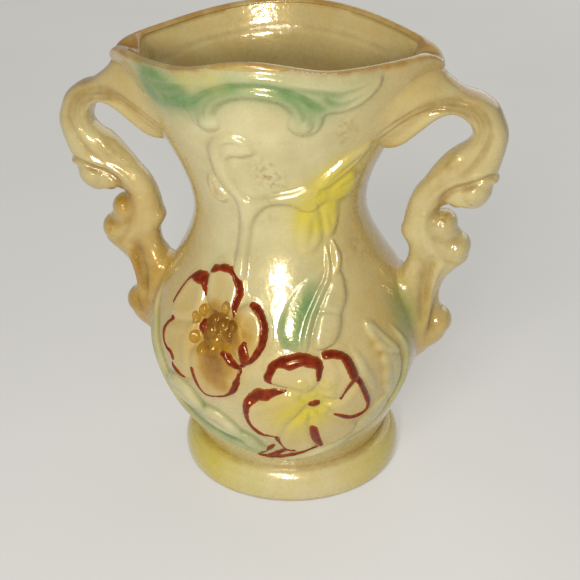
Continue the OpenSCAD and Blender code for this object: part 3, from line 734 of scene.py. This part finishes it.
fade = smooth(rim_top(a) - 2.2, rim_top(a) - 5.2, z)
field = softened(np.clip(field - cuts, 0, 9) * fade, 1.2)
tint = 0.45 * np.clip(cuts, 0, 1) * fade * smooth(46, 20, np.abs(a - 2))
worn = lip_wear(a, rim_top(a) - z)
add_sprig("rim_scroll", a, z, 0 * a, field, scroll_glaze, "scroll_glaze", green=tint, worn=worn)

# Vine: a stem that ends in a crook, with a side branch to the blossom and a small bud leaf.
# It is moulded with the wall and left in the wall's own glaze.

vine_glaze = lustre_glaze("lustre_glaze_vine", "#d3c997", "#c0b381")
a, z, mm, u, v = window(-42, 34, 107, 174)
outline = [(-1, 162.8), (-2.2, 167), (-8, 170.5), (-14.5, 170.2), (-20, 167.3), (-23.7, 162),
           (-24.5, 152.5), (-21.5, 146.5), (-16, 142), (-14.5, 136), (-16, 126.5), (-17.5, 116),
           (-18, 109), (-10, 109), (-9.5, 118), (-7.5, 127), (-5.5, 132.5), (-1.5, 136.8), (4, 139.8),
           (12, 140.6), (19, 139.5), (27, 136), (34, 138), (34, 148), (26, 148), (17, 146.2), (7.5, 145),
           (-2, 143.5), (-7.5, 143), (-12.5, 147.5), (-15.5, 152.5), (-15, 158), (-12, 160.8), (-7, 161)]
field = shoulder(within(u, v, outline, mm), 2.1, 2.6)
field -= carved(u, v, mm, [
    [(-4, 165.3, 0.8, 0.3), (-8, 166.8, 0.9, 0.9), (-13, 166, 1, 1), (-16.5, 163, 1, 0.8),
     (-18, 158.5, 1, 0.4), (-18, 153, 1, 0)],
    [(-21, 149, 0.7, 0.2), (-15, 144, 0.7, 0.4), (-11, 139, 0.7, 0.2)]])
bud = [(-30, 151), (-32.7, 146.5), (-32, 142), (-26.5, 139.6), (-21.5, 140.5), (-20, 143.5), (-23.5, 146),
       (-25.5, 150)]
d = within(u, v, bud, mm)
field = np.maximum(field, shoulder(d, 1.4, 1.6) - 0.5 * smooth(1.2, 2.6, d))
field = softened(np.clip(field, 0, 9), 1.2)
spot = 0.5 * np.exp(-(((a + 28) / 1.6) ** 2) - ((z - 143.5) / 1.8) ** 2)
add_sprig("vine", a, z, 0 * a, field, vine_glaze, "vine_glaze", 0.26, amber=spot)

# Neck blossom: four petals round the swollen end of the vine's branch.
# It is moulded with the wall and sprayed bright yellow.

blossom_glaze = lustre_glaze("lustre_glaze_blossom", "#d3c88a", "#c3b573")
a, z, mm, u, v = window(17, 68, 113, 166)
field = 2.3 * rolled(np.hypot((u - 34 * mm[0]) / 1.5, v - 142.5 * mm[1]), 4.6, 1)
for rise, outline, cut in (
    (2.3, [(27, 145), (29.5, 149), (37.5, 156), (44, 160), (55, 163), (54, 157.5), (49.5, 153), (43, 149),
           (37, 146)],
     [(36, 149, 0.9, 0.2), (42, 153, 0.9, 0.9), (48, 157, 0.8, 0.9), (53, 160.5, 0.7, 0.2)]),
    (2, [(36, 144), (41, 147.3), (45.5, 150), (51.5, 151.5), (59, 147.5), (59, 143.5), (55, 140),
         (48, 139), (39, 140)],
     [(42, 144.5, 0.8, 0.2), (48, 146.5, 0.9, 0.7), (54, 148, 0.8, 0.2)]),
    (1.7, [(35, 141), (47, 140.3), (50, 132.5), (47.5, 126), (43, 123.8), (39, 125.5), (37.5, 132)],
     [(40, 137, 0.8, 0.2), (43.5, 131, 0.9, 0.6), (44, 126, 0.8, 0.1)]),
    (1.6, [(26, 138.5), (34, 138), (37.5, 131), (37.5, 124.5), (32, 119.8), (24.5, 118.5), (20.5, 121.3),
           (20.5, 127), (22, 133)],
     [(31, 134, 1, 0.2), (31, 128, 1.2, 0.8), (28, 122.5, 1, 0.3)]),
):
    h = shoulder(within(u, v, outline, mm), rise, 3.6) - carved(u, v, mm, [cut])
    field = np.maximum(field, h)
field = softened(np.clip(field, 0, 9), 1.7)
add_sprig("neck_blossom", a, z, 0 * a, field, blossom_glaze, "blossom_glaze")

# Hanging leaves: a dished leaf sprayed green, its rolled edge, and a pinched bud beside it.
# They hang below the blossom and are moulded with the wall.

leaf_glaze = lustre_glaze("lustre_glaze_leaves", "#d2c997", "#bfb381")
a, z, mm, u, v = window(4, 54, 80, 126)
leaf = [(38, 115), (27, 111), (18, 106.5), (11.5, 99.5), (8.5, 92), (11, 85.5), (17, 82.5), (20, 86),
        (21.5, 92), (28, 101)]
field = shoulder(within(u, v, leaf, mm), 0.8, 5)
edge = [(39, 121, 0.5, 0.4), (38, 114, 1.5, 1.5), (35, 108.5, 1.8, 1.9), (29, 103, 1.9, 2),
        (23, 96, 1.9, 2), (19.8, 89.5, 1.8, 1.9), (18.3, 84, 1.2, 1.2)]
gap, rest = along(u, v, np.array(edge) * [*mm, 1, 1])
field = np.maximum(field, rest[..., 1] * rolled(gap, rest[..., 0], 0.8))
bud = [(44, 123), (47.3, 116), (44.8, 110.5), (44.3, 105), (42, 100), (37.8, 95.5), (35.8, 91),
       (32, 86.3), (27.5, 84), (22.5, 84.5), (22, 88.5), (24.5, 94), (29, 101), (34.5, 106.5),
       (39.5, 113)]
h = shoulder(within(u, v, bud, mm), 2.5, 3)
h -= carved(u, v, mm, [
    [(46, 111, 0.9, 0.9), (41.5, 109.5, 0.9, 0.9), (37.5, 107.5, 0.8, 0.3)],
    [(25, 97, 0.8, 0.4), (29.5, 97.6, 0.9, 0.9), (34, 96.5, 0.8, 0.6), (38, 95.5, 0.8, 0.3)],
    [(42, 116, 0.7, 0.3), (40.5, 111, 0.7, 0.3)]])
field = softened(np.clip(np.maximum(field, h), 0, 9), 1.2)
add_sprig("hanging_leaves", a, z, 0 * a, field, leaf_glaze, "leaf_glaze")

# Large flowers: broad overlapping petals round a raised eye, moulded with the wall.
# The left one's eye is a lumpy boss with beads under amber glaze; the right one's is low and yellow.
# The petals are edged by hand with strokes of dark red enamel that stand up a little.

petal_glaze = lustre_glaze("lustre_glaze_petals", "#d4c794", "#c5b37c", 0.3)
amber_glaze = lustre_glaze("lustre_glaze_amber_eye", "#a87b31", "#8c5e1f", 0.16, 0.3)
yellow_glaze = lustre_glaze("lustre_glaze_yellow_eye", "#d4c78c", "#c5b572")
# Width of the enamel's brush streaks, in mm.
STREAK_W = 2.38095


def red_enamel():
    """Overglaze enamel, brushed on thick and fired: dark red with brush streaks about 2 mm wide, and
    orange-brown where it runs thin at its edges."""
    material = bpy.data.materials.new("red_overglaze_enamel")
    material.use_nodes = True
    tree = material.node_tree
    shader = tree.nodes["Principled BSDF"]
    place = add_node(tree, "ShaderNodeTexCoord").outputs["Object"]
    inputs = {"Vector": place, "Scale": 1000 / STREAK_W, "Detail": 3.0}
    streak = add_node(tree, "ShaderNodeTexNoise", inputs).outputs["Fac"]
    thin = add_node(tree, "ShaderNodeMapRange", {0: streak, 1: 0.4, 2: 0.7}).outputs[0]
    inputs = {0: thin, 6: linear("#6a1406"), 7: linear("#8a2c0c")}
    body = add_node(tree, "ShaderNodeMix", inputs, data_type="RGBA").outputs[2]
    edge = add_node(tree, "ShaderNodeAttribute", attribute_name="worn").outputs["Fac"]
    inputs = {0: edge, 6: body, 7: linear("#a5591f")}
    colour = add_node(tree, "ShaderNodeMix", inputs, data_type="RGBA").outputs[2]
    tree.links.new(colour, shader.inputs["Base Color"])
    bump = add_node(tree, "ShaderNodeBump", {"Strength": 0.15, "Distance": 0.0004, "Height": streak})
    tree.links.new(bump.outputs[0], shader.inputs["Normal"])
    shader.inputs["Roughness"].default_value = 0.14
    shader.inputs["IOR"].default_value = 1.5
    shader.inputs["Specular Tint"].default_value = linear("#ffdca8")
    return material


enamel = red_enamel()
# Each flower's place on the wall, tan of its petals, amber of its eye and power that rounds the eye's balls.
# Then in mm from its place: petal outlines; balls of the eye as place, place, radius and height; beads with a
# dimple likewise; and brush strokes as place, place and half width.
FLOWERS = {
    "left": dict(
        at=(-21, 87), slot="amber_eye_glaze", glaze=amber_glaze, tan=0.11, amber=0.95, power=0.6,
        petals=[
            [(-9, 4.5), (-17, 1.5), (-25.5, 0), (-27.5, 6.5), (-26.3, 12), (-23.3, 18), (-19, 21.3),
             (-12.3, 20.8), (-8.5, 16.5), (-7.5, 10)],
            [(-4, 9.5), (-8.5, 14.5), (-10.3, 19), (-9.8, 25), (-3, 28.3), (3.3, 27.8), (8.7, 24),
             (10.3, 19.5), (9.8, 14), (7.5, 8.5)],
            [(-8, 4.5), (-16.5, 2), (-25, -0.5), (-28.2, -5), (-26.7, -10), (-23, -14.5), (-20, -16.2),
             (-20.3, -20.7), (-16, -24.6), (-9, -23.2), (-7.5, -15.5), (-7.8, -7)],
            [(-3, -4.5), (-9.3, -8), (-9.3, -17), (-6.7, -25), (-2.7, -29.2), (2.7, -28.8), (9, -26.2),
             (12.7, -19.7), (14.2, -13), (9, -5)],
            [(7.5, 6), (9.5, 11.5), (13, 14.2), (16.7, 14.7), (22.2, 11.5), (24.3, 6), (23.8, 1),
             (21.7, -4.3), (18, -8.8), (13.8, -9.3), (9.5, -2.5)]],
        balls=[(2.5, 2, 7.5, 1.8), (-0.5, 2.2, 3, 2.9), (4.5, 5, 3, 3.1), (7, 1.3, 3.2, 2.9),
               (0.3, 6.3, 2.2, 2.4), (2.5, -1, 2.6, 2.5), (-4.8, 2.6, 2.4, 2.2), (4, 1.6, 1.8, 3.3),
               (9.5, 5.3, 2.4, 1.9)],
        beads=[(-7, 8.6, 2.1, 1.9), (-9.6, 5, 2.1, 1.8), (-7.8, -2.4, 2.3, 1.8), (5, 11.6, 2.3, 1.8),
               (-3.2, -6, 2.3, 1.6), (1.3, -3.6, 1.9, 1.8), (8, -2.8, 2.6, 1.6)],
        strokes=[
            [(-26, 6.5, 0.7), (-24, 15, 1.1), (-21, 19, 1.4), (-16, 20, 2.5), (-11.5, 19.5, 2.3),
             (-9, 16.5, 1.2), (-8, 14.5, 0.4)],
            [(-8.5, 25, 1.6), (-5.5, 25.5, 1.4), (-2, 26.5, 1.3), (1.5, 26.5, 1.3), (5, 25.5, 1.4),
             (7.5, 23, 1.4), (9.5, 20, 1.4), (10, 17, 1.4), (9, 13.5, 1.3), (9, 9, 0.4)],
            [(-23, 0.5, 0.9), (-24.5, -2, 1), (-25.5, -5, 1), (-25.5, -8, 1), (-24, -11, 0.8),
             (-21.5, -12.5, 0.8), (-19, -13, 0.9), (-18, -15, 1.1), (-19.5, -16.5, 0.4)],
            [(-19, -18.5, 0.4), (-17, -20, 1.2), (-15, -21.5, 1.2), (-12, -22.5, 0.3)],
            [(-7, -16, 1), (-6, -22, 1.2), (-5, -25.5, 1.2), (-3, -28, 0.7), (-0.5, -28.5, 0.4),
             (3, -27.5, 0.4), (6.5, -26, 0.5), (9.5, -24, 1), (11, -21.5, 1.2), (12.5, -17, 0.9),
             (14, -12, 0.3)],
            [(17, 14.5, 1), (19, 13.5, 1.5), (21, 11.5, 1.4), (22.5, 9, 1.3), (23.5, 6, 1.4),
             (23, 3, 1.4), (22.5, -0.5, 1.3), (21, -3, 1.2), (19.5, -5.5, 1.1), (17, -8, 0.8),
             (14.5, -9.5, 0.6)],
            [(15.5, -0.3, 0.9), (15.3, -2.5, 1.9), (15.6, -5, 2), (15.6, -7.5, 1.5), (15.2, -9.8, 0.6)],
            [(6.5, -5.5, 0.8), (8.5, -6.5, 1.3), (10.5, -8.5, 1.3), (14, -11, 0.4)],
            [(-5.5, 4.5, 1.1), (-4.9, 2.5, 1.9), (-4.6, 0.6, 1.1)]]),
    "right": dict(
        at=(20.5, 61), slot="yellow_eye_glaze", glaze=yellow_glaze, tan=0.04, amber=0, power=1.3,
        petals=[
            [(-2, 5), (-9, 8), (-18, 11.5), (-16.7, 17.3), (-12.3, 20.7), (-6.5, 22.8), (-0.3, 22.8),
             (4.2, 20.7), (4.3, 16), (3, 10)],
            [(3.5, 3), (4.3, 10.5), (5, 14), (4.3, 21.3), (9, 22.8), (14, 21.2), (17.2, 16.3),
             (19.3, 9.7), (15.5, 5), (11, 0)],
            [(4.5, -2), (11.5, 1), (18.7, 8), (23.2, 1.3), (26.8, -6), (25.6, -11.6), (19, -14.8),
             (12, -11.8), (8, -6.5)],
            [(0, -4.5), (6, -8), (12, -11), (20.6, -15.8), (21.3, -22.2), (15.8, -26.8), (9, -29.3),
             (3, -28.6), (-1, -16)],
            [(-2, -5), (-0.5, -12), (0.3, -18), (3, -27.3), (-3.5, -31.8), (-8.3, -31.2), (-12.7, -29),
             (-14.3, -22.5), (-10.5, -12)],
            [(-2, 0), (-9.5, 6.8), (-17, 3.5), (-22.5, 0.5), (-26.5, 0.8), (-28.8, -5), (-28.3, -11.7),
             (-25, -18.6), (-19, -20.8), (-13, -21), (-9.5, -12), (-5, -5.5)]],
        balls=[(0, 1, 5.5, 0.6), (-4, 10.5, 3, 0.7), (-6.5, 5, 3, 0.7), (0, 4, 3, 0.9), (5, 8.6, 3, 0.6),
               (-1.5, -6.5, 3, 0.5), (5, -6, 3, 0.6), (7, 3.5, 3, 0.6), (0.7, -0.7, 2.2, 1.1)],
        beads=[],
        strokes=[
            [(-16.5, 11.5, 1.2), (-17, 13, 1.5), (-15, 18, 1.5), (-13, 19.5, 1.6), (-10.5, 20, 2.1),
             (-8, 20, 2.7), (-3, 21, 2.3), (-0.5, 20, 2.2), (2, 19, 2), (3, 17.5, 1.6), (3, 15, 1.3),
             (2.5, 12, 0.6)],
            [(6, 21.5, 1.4), (8.5, 21.5, 1.4), (11, 21, 1.4), (13, 20, 1.4), (14.5, 18, 1.9),
             (15.5, 15.5, 2.1), (16.5, 12, 2.1), (17, 9.5, 1.8), (15.5, 7, 1.3), (13.5, 4.5, 0.9),
             (11.5, 0.5, 0.2)],
            [(17.5, 9.5, 0.9), (19.5, 6.5, 1.1), (21.5, 2, 1.2), (23.5, -2.5, 1.3), (24.5, -5.5, 1),
             (24, -8.5, 0.8), (22, -10.5, 0.9), (18.5, -11.5, 1.2), (15.5, -11, 1.3), (12.5, -9.5, 1.2),
             (10, -8.5, 0.8)],
            [(-10.5, 7, 0.4), (-13.5, 6.5, 1.1), (-16, 5.5, 1.8), (-18.5, 4.5, 2.5), (-21, 4, 2.8),
             (-23, 2.5, 2.1), (-25.5, 0, 1.8), (-27, -4.5, 1.4), (-27, -8.5, 1.2), (-26, -13, 1.2),
             (-24, -15.5, 1.2), (-21.5, -18, 1.2), (-17, -18.5, 0.2)],
            [(0, -0.8, 1.6), (0.7, -0.9, 2), (1.6, -0.9, 1.7)],
            [(0.5, -14.5, 1.6), (2, -20.5, 1.9), (4, -26, 1.6)],
            [(-15.5, -19.5, 0.9), (-15.5, -23, 1.1), (-14.5, -25.5, 0.9), (-12.5, -28.5, 0.4),
             (-10, -28.5, 0.6), (-7.5, -29, 0.2)],
            [(-18, -29, 0.9), (-21.5, -32.5, 1), (-26.5, -36.5, 0.6)],
            [(-11, -31, 1.1), (-15.5, -34, 1.2), (-21, -37, 0.8)],
            [(-27, -37.5, 0.4), (-21, -38, 0.9), (-13, -37, 1), (-6, -35, 1), (0.5, -32, 0.7),
             (4, -30.5, 0.3)]]),
}
for name, f in FLOWERS.items():
    angle, height = f["at"]
    a, z, mm, u, v = window(angle - 34, angle + 32, max(height - 42, 17), height + 32, 0.34, f["at"])
    petals = np.zeros(a.shape)
    for outline in f["petals"]:
        d = within(u, v, outline)
        petals = np.maximum(petals, shoulder(d, 2.8, 4.5) - 0.4 * smooth(3, 7, d))
    petals = softened(np.maximum(petals, 0.7 * softened(petals, 6)), 1.4)
    petals = np.where(petals > 0.06, petals, 0)
    tan = f["tan"] * smooth(0.5, 2.6, petals)
    add_sprig(name + "_petals", a, z, 0 * a, petals, petal_glaze, "petal_glaze", 0.075, amber=tan)

    boss, core = np.zeros(a.shape), np.zeros(a.shape)
    for bu, bv, r, h in f["balls"]:
        gap = np.hypot(u - bu, v - bv)
        boss = np.maximum(boss, h * rolled(gap, r, f["power"]))
        core = np.maximum(core, rolled(gap, r * 1.1, 0.5))
    for bu, bv, r, h in f["beads"]:
        gap = np.hypot((u - bu) * 1.15, (v - bv) * 0.9)
        boss = np.maximum(boss, h * rolled(gap, r, 0.6) - 0.35 * h * rolled(gap, r * 0.5, 1))
        core = np.where(gap < r * 0.75, 0.15, core)
    boss = softened(boss, 0.9)
    tint = f["amber"] * core if f["amber"] else tan
    eye = np.where(boss > 0.05, boss, 0)
    add_sprig(name + "_eye", a, z, petals, eye, f["glaze"], f["slot"], amber=tint)

    paint, thin = np.zeros(a.shape), np.zeros(a.shape)
    for rows in f["strokes"]:
        gap, rest = along(u, v, np.array(rows, float), 4.0)
        gap = np.abs(gap + 0.12 * np.sin(0.9 * u + 0.7 * v) + 0.07 * np.sin(2.2 * v - 1.3 * u))
        half = rest[..., 0] + 0.15
        h = 0.6 * rolled(gap, half, 0.5)
        thin = np.where(h > paint, smooth(0.55, 1, gap / half), thin)
        paint = np.maximum(paint, h)
    points, faces, used = raised(a, z, petals + boss, paint, paint > 0.01, 0.3)
    thin = 0.8 * thin.ravel()[used]
    for end, side in (("front_", 1), ("back_", -1)):
        add_piece("enamel_" + end + name, points * [side, side, 1], faces, enamel, "petal_glaze", worn=thin)

# Base leaves: long curled leaves round the bottom of the belly, with rounded leaves between them.
# They are moulded with the wall and sprayed green, on the left in the hollows round them.

base_leaf_glaze = lustre_glaze("lustre_glaze_base_leaves", "#d2cb9c", "#bfb686")
# Window on the wall; rise in mm and outlines of rounded leaves; long blades as angle, height, half width and
# rise; and the leaves' veins, with a depth in place of the rise.
BASE_LEAVES = {
    "left_base_leaf": ((-80, 2, 20, 97), 3, [
        [(-49.5, 58.5), (-42, 61.5), (-35, 59.5), (-30, 53.5), (-26.5, 46), (-34, 46.5), (-42, 48.5),
         (-47, 52.5)],
        [(-33, 48.5), (-25, 51), (-18, 48), (-13, 42), (-9, 34.5), (-16.5, 36.5), (-24, 39), (-30, 43)],
        [(-13.5, 40.5), (-7.5, 38), (-3.5, 33), (-1, 28.5), (-7.5, 30), (-12, 33.5)]], [
        [(-70, 93, 0.6, 0.4), (-65, 86, 1.8, 1.5), (-59, 79, 2.2, 2), (-55.5, 70.5, 2.4, 2.2),
         (-53, 61, 2.3, 2), (-48.5, 55, 1.2, 0.9)],
        [(-66, 77, 0.6, 0.4), (-64, 66, 1.7, 1.5), (-60, 54, 2.2, 2), (-54, 44.5, 2.3, 2.1),
         (-46, 38.5, 2.2, 2), (-36, 34.5, 2, 1.8), (-22.5, 31.5, 1.8, 1.6), (-11, 28, 1.4, 1.2),
         (-2, 25.5, 0.6, 0.4)]], [
        [(-47, 57.5, 0.8, 0.1), (-39.5, 54.5, 1, 0.9), (-30, 48, 0.8, 0.2)],
        [(-31, 47.5, 0.8, 0.1), (-22, 44.5, 1, 0.9), (-12.5, 37, 0.8, 0.2)]]),
    "right_base_leaf": ((2, 86, 19, 98), 1.6, [
        [(47.5, 91), (51.5, 89.5), (55, 84.5), (60, 78), (63, 72), (56, 74.5), (51, 77), (48.5, 82.5),
         (47, 87)],
        [(52, 76), (56, 75), (62.5, 71), (64, 66.5), (64.5, 60), (63, 53), (60, 48), (56.5, 53),
         (53, 60.5), (52.5, 67.5), (51.5, 73)],
        [(57, 53.5), (60, 48), (57.5, 41), (51.5, 36.5), (44.5, 33.5), (41.5, 36), (44.5, 42.5),
         (48.5, 48), (52.5, 51)]], [
        [(61, 85, 0.6, 0.4), (65, 77.5, 1.6, 1.5), (67.5, 70, 2, 1.9), (68, 61, 2.2, 2),
         (67.5, 54, 2.2, 2), (63.5, 46, 2, 1.8), (58, 38.5, 1.8, 1.4), (50, 32, 1.4, 1),
         (41, 27.5, 0.8, 0.5)],
        [(44, 36, 1.4, 1), (36, 31, 2.4, 1.7), (26, 27, 2.2, 1.6), (15, 23.5, 1.4, 1), (6, 21.5, 0.6, 0.4)],
        [(38, 82.5, 0.8, 0.2), (40.5, 77.5, 2, 0.7), (43, 70.5, 2.4, 0.9), (46.5, 64, 2.2, 0.7),
         (49, 55.5, 1, 0.2)]], [
        [(49, 88.5, 0.8, 0.1), (53.5, 81.5, 1, 0.6), (60, 74, 0.8, 0.1)],
        [(56, 72.5, 0.8, 0.1), (58.5, 62, 1, 0.6), (59.5, 51, 0.8, 0.1)]]),
}
for node, (span, rise, leaves, blades, veins) in BASE_LEAVES.items():
    a, z, mm, u, v = window(*span)
    field = np.zeros(a.shape)
    for outline in leaves:
        field = np.maximum(field, shoulder(within(u, v, outline, mm), rise, 4))
    field = np.maximum(field - carved(u, v, mm, veins), 0)
    for rows in blades:
        gap, rest = along(u, v, np.array(rows) * [*mm, 1, 1])
        field = np.maximum(field, rest[..., 1] * rolled(gap, rest[..., 0], 0.7))
    field = softened(field, 1.3)
    hollow = 0.6 * np.clip((softened(field, 5) - field) / 0.8, 0, 1) * (node == "left_base_leaf")
    # the flanks' tan, partly painted shade, is less on the raised leaves
    warm = flank_tan_and_shade(wall_at(a, z).reshape(-1, 3)).reshape(a.shape) * (1 - 0.6 * smooth(0.1, 1.2, field))
    add_sprig(node, a, z, 0 * a, field, base_leaf_glaze, "base_leaf_glaze", 0.45, green=hollow, warm=warm)

# Floor, light and camera: a plain pale table, one small lamp beside the camera,
# a softer one from the upper left, a broad one from behind, and the camera at the photograph's angle.

reach = np.array([0.0, 0.3, 0.8, 1.6, 3.0, 5.0]) * 1000
turn = np.radians(np.linspace(0, 360, 65)[:-1])
rings = np.stack([np.outer(reach, np.sin(turn)), np.outer(reach, np.cos(turn))], -1)
rings = np.pad(rings, ((0, 0), (0, 0), (0, 1)))
k = np.arange(len(reach) * len(turn)).reshape(len(reach), len(turn))
quads = np.stack([k[:-1], k[1:], np.roll(k, -1, 1)[1:], np.roll(k, -1, 1)[:-1]], -1).reshape(-1, 4)
mesh = bpy.data.meshes.new("table")
mesh.from_pydata((rings.reshape(-1, 3) / 1000).tolist(), [], quads.tolist())
paper = bpy.data.materials.new("pale_paper")
paper.use_nodes = True
tree = paper.node_tree
# Faint clouds in the paper, about 17 cm wide; the pattern counts them over the table's whole width.
CLOUD_W = 166.67
inputs = {"Scale": 2 * reach[-1] / CLOUD_W, "Detail": 6.0}
fibre = add_node(tree, "ShaderNodeTexNoise", inputs).outputs["Fac"]
inputs = {0: fibre, 6: linear("#e2e0da"), 7: linear("#e8e6e1")}
tone = add_node(tree, "ShaderNodeMix", inputs, data_type="RGBA").outputs[2]
tree.links.new(tone, tree.nodes["Principled BSDF"].inputs["Base Color"])
tree.nodes["Principled BSDF"].inputs["Roughness"].default_value = 0.9


def seen_rays(tree):
    """1 for rays from the camera, a reflection or clear glass, and 0 for rays that light a surface."""
    ray = add_node(tree, "ShaderNodeLightPath").outputs
    inputs = {0: ray["Is Camera Ray"], 1: ray["Is Glossy Ray"]}
    seen = add_node(tree, "ShaderNodeMath", inputs, operation="ADD").outputs[0]
    inputs = {0: seen, 1: ray["Is Transmission Ray"]}
    return add_node(tree, "ShaderNodeMath", inputs, operation="ADD", use_clamp=True).outputs[0]


# Seen straight or in a reflection the paper is as pale as under full light, and still takes the shadow.
share = add_node(tree, "ShaderNodeMath", {0: seen_rays(tree), 1: 0.5}, operation="MULTIPLY").outputs[0]
glow = add_node(tree, "ShaderNodeEmission", {"Color": tone, "Strength": 1.0}).outputs[0]
inputs = {0: share, 1: tree.nodes["Principled BSDF"].outputs[0], 2: glow}
both = add_node(tree, "ShaderNodeMixShader", inputs).outputs[0]
tree.links.new(both, tree.nodes["Material Output"].inputs["Surface"])
mesh.materials.append(paper)
table = bpy.data.objects.new("table", mesh)
scene.collection.objects.link(table)

# The photograph's camera: degrees to the right and up, tilt in radians, and in metres its aim and distance.
azimuth, elevation, tilt = np.radians(12.98), np.radians(30.67), -0.0478
aim, distance = np.array([0.00252, 0, 0.08343]), 0.47
level = np.array([np.sin(azimuth), -np.cos(azimuth), 0])
back = np.cos(elevation) * level + np.array([0, 0, np.sin(elevation)])
right = np.cross(-back, [0, 0, 1])
right /= np.linalg.norm(right)
over = np.cross(right, -back)
right, over = np.cos(tilt) * right + np.sin(tilt) * over, np.cos(tilt) * over - np.sin(tilt) * right
eye = aim + distance * back
lens = bpy.data.cameras.new("camera")
lens.lens, lens.sensor_width, lens.clip_start = 66.2, 36.0, 0.01
camera = bpy.data.objects.new("camera", lens)
camera.matrix_world = Matrix([[right[i], over[i], back[i], eye[i]] for i in range(3)] + [[0, 0, 0, 1]])
scene.collection.objects.link(camera)
scene.camera = camera

for name, place, size, watts in (("lamp_front", eye - 0.075 * right - 0.06 * over + 0.02 * back, 0.1, 1.2),
                                 ("lamp_left", np.array([-0.06, -0.62, 0.67]), 0.25, 1.9),
                                 ("lamp_behind", np.array([0.45, 1.25, 0.95]), 1.8, 7.0)):
    lamp = bpy.data.lights.new(name, "AREA")
    lamp.shape, lamp.size, lamp.energy = "DISK", size, watts
    holder = bpy.data.objects.new(name, lamp)
    aim = place - np.array([0, 0, 0.1])
    aim /= np.linalg.norm(aim)
    across = np.cross([0, 0, 1], aim)
    across /= np.linalg.norm(across)
    rise = np.cross(aim, across)
    holder.matrix_world = Matrix([[across[i], rise[i], aim[i], place[i]] for i in range(3)] + [[0, 0, 0, 1]])
    scene.collection.objects.link(holder)

world = bpy.data.worlds.new("room")
scene.world = world
world.use_nodes = True
tree = world.node_tree
tree.nodes["Background"].inputs["Color"].default_value = linear("#e8e4dc")
strength = add_node(tree, "ShaderNodeMapRange", {0: seen_rays(tree), 3: 0.19, 4: 0.5}).outputs[0]
tree.links.new(strength, tree.nodes["Background"].inputs["Strength"])
scene.view_settings.view_transform = "Standard"
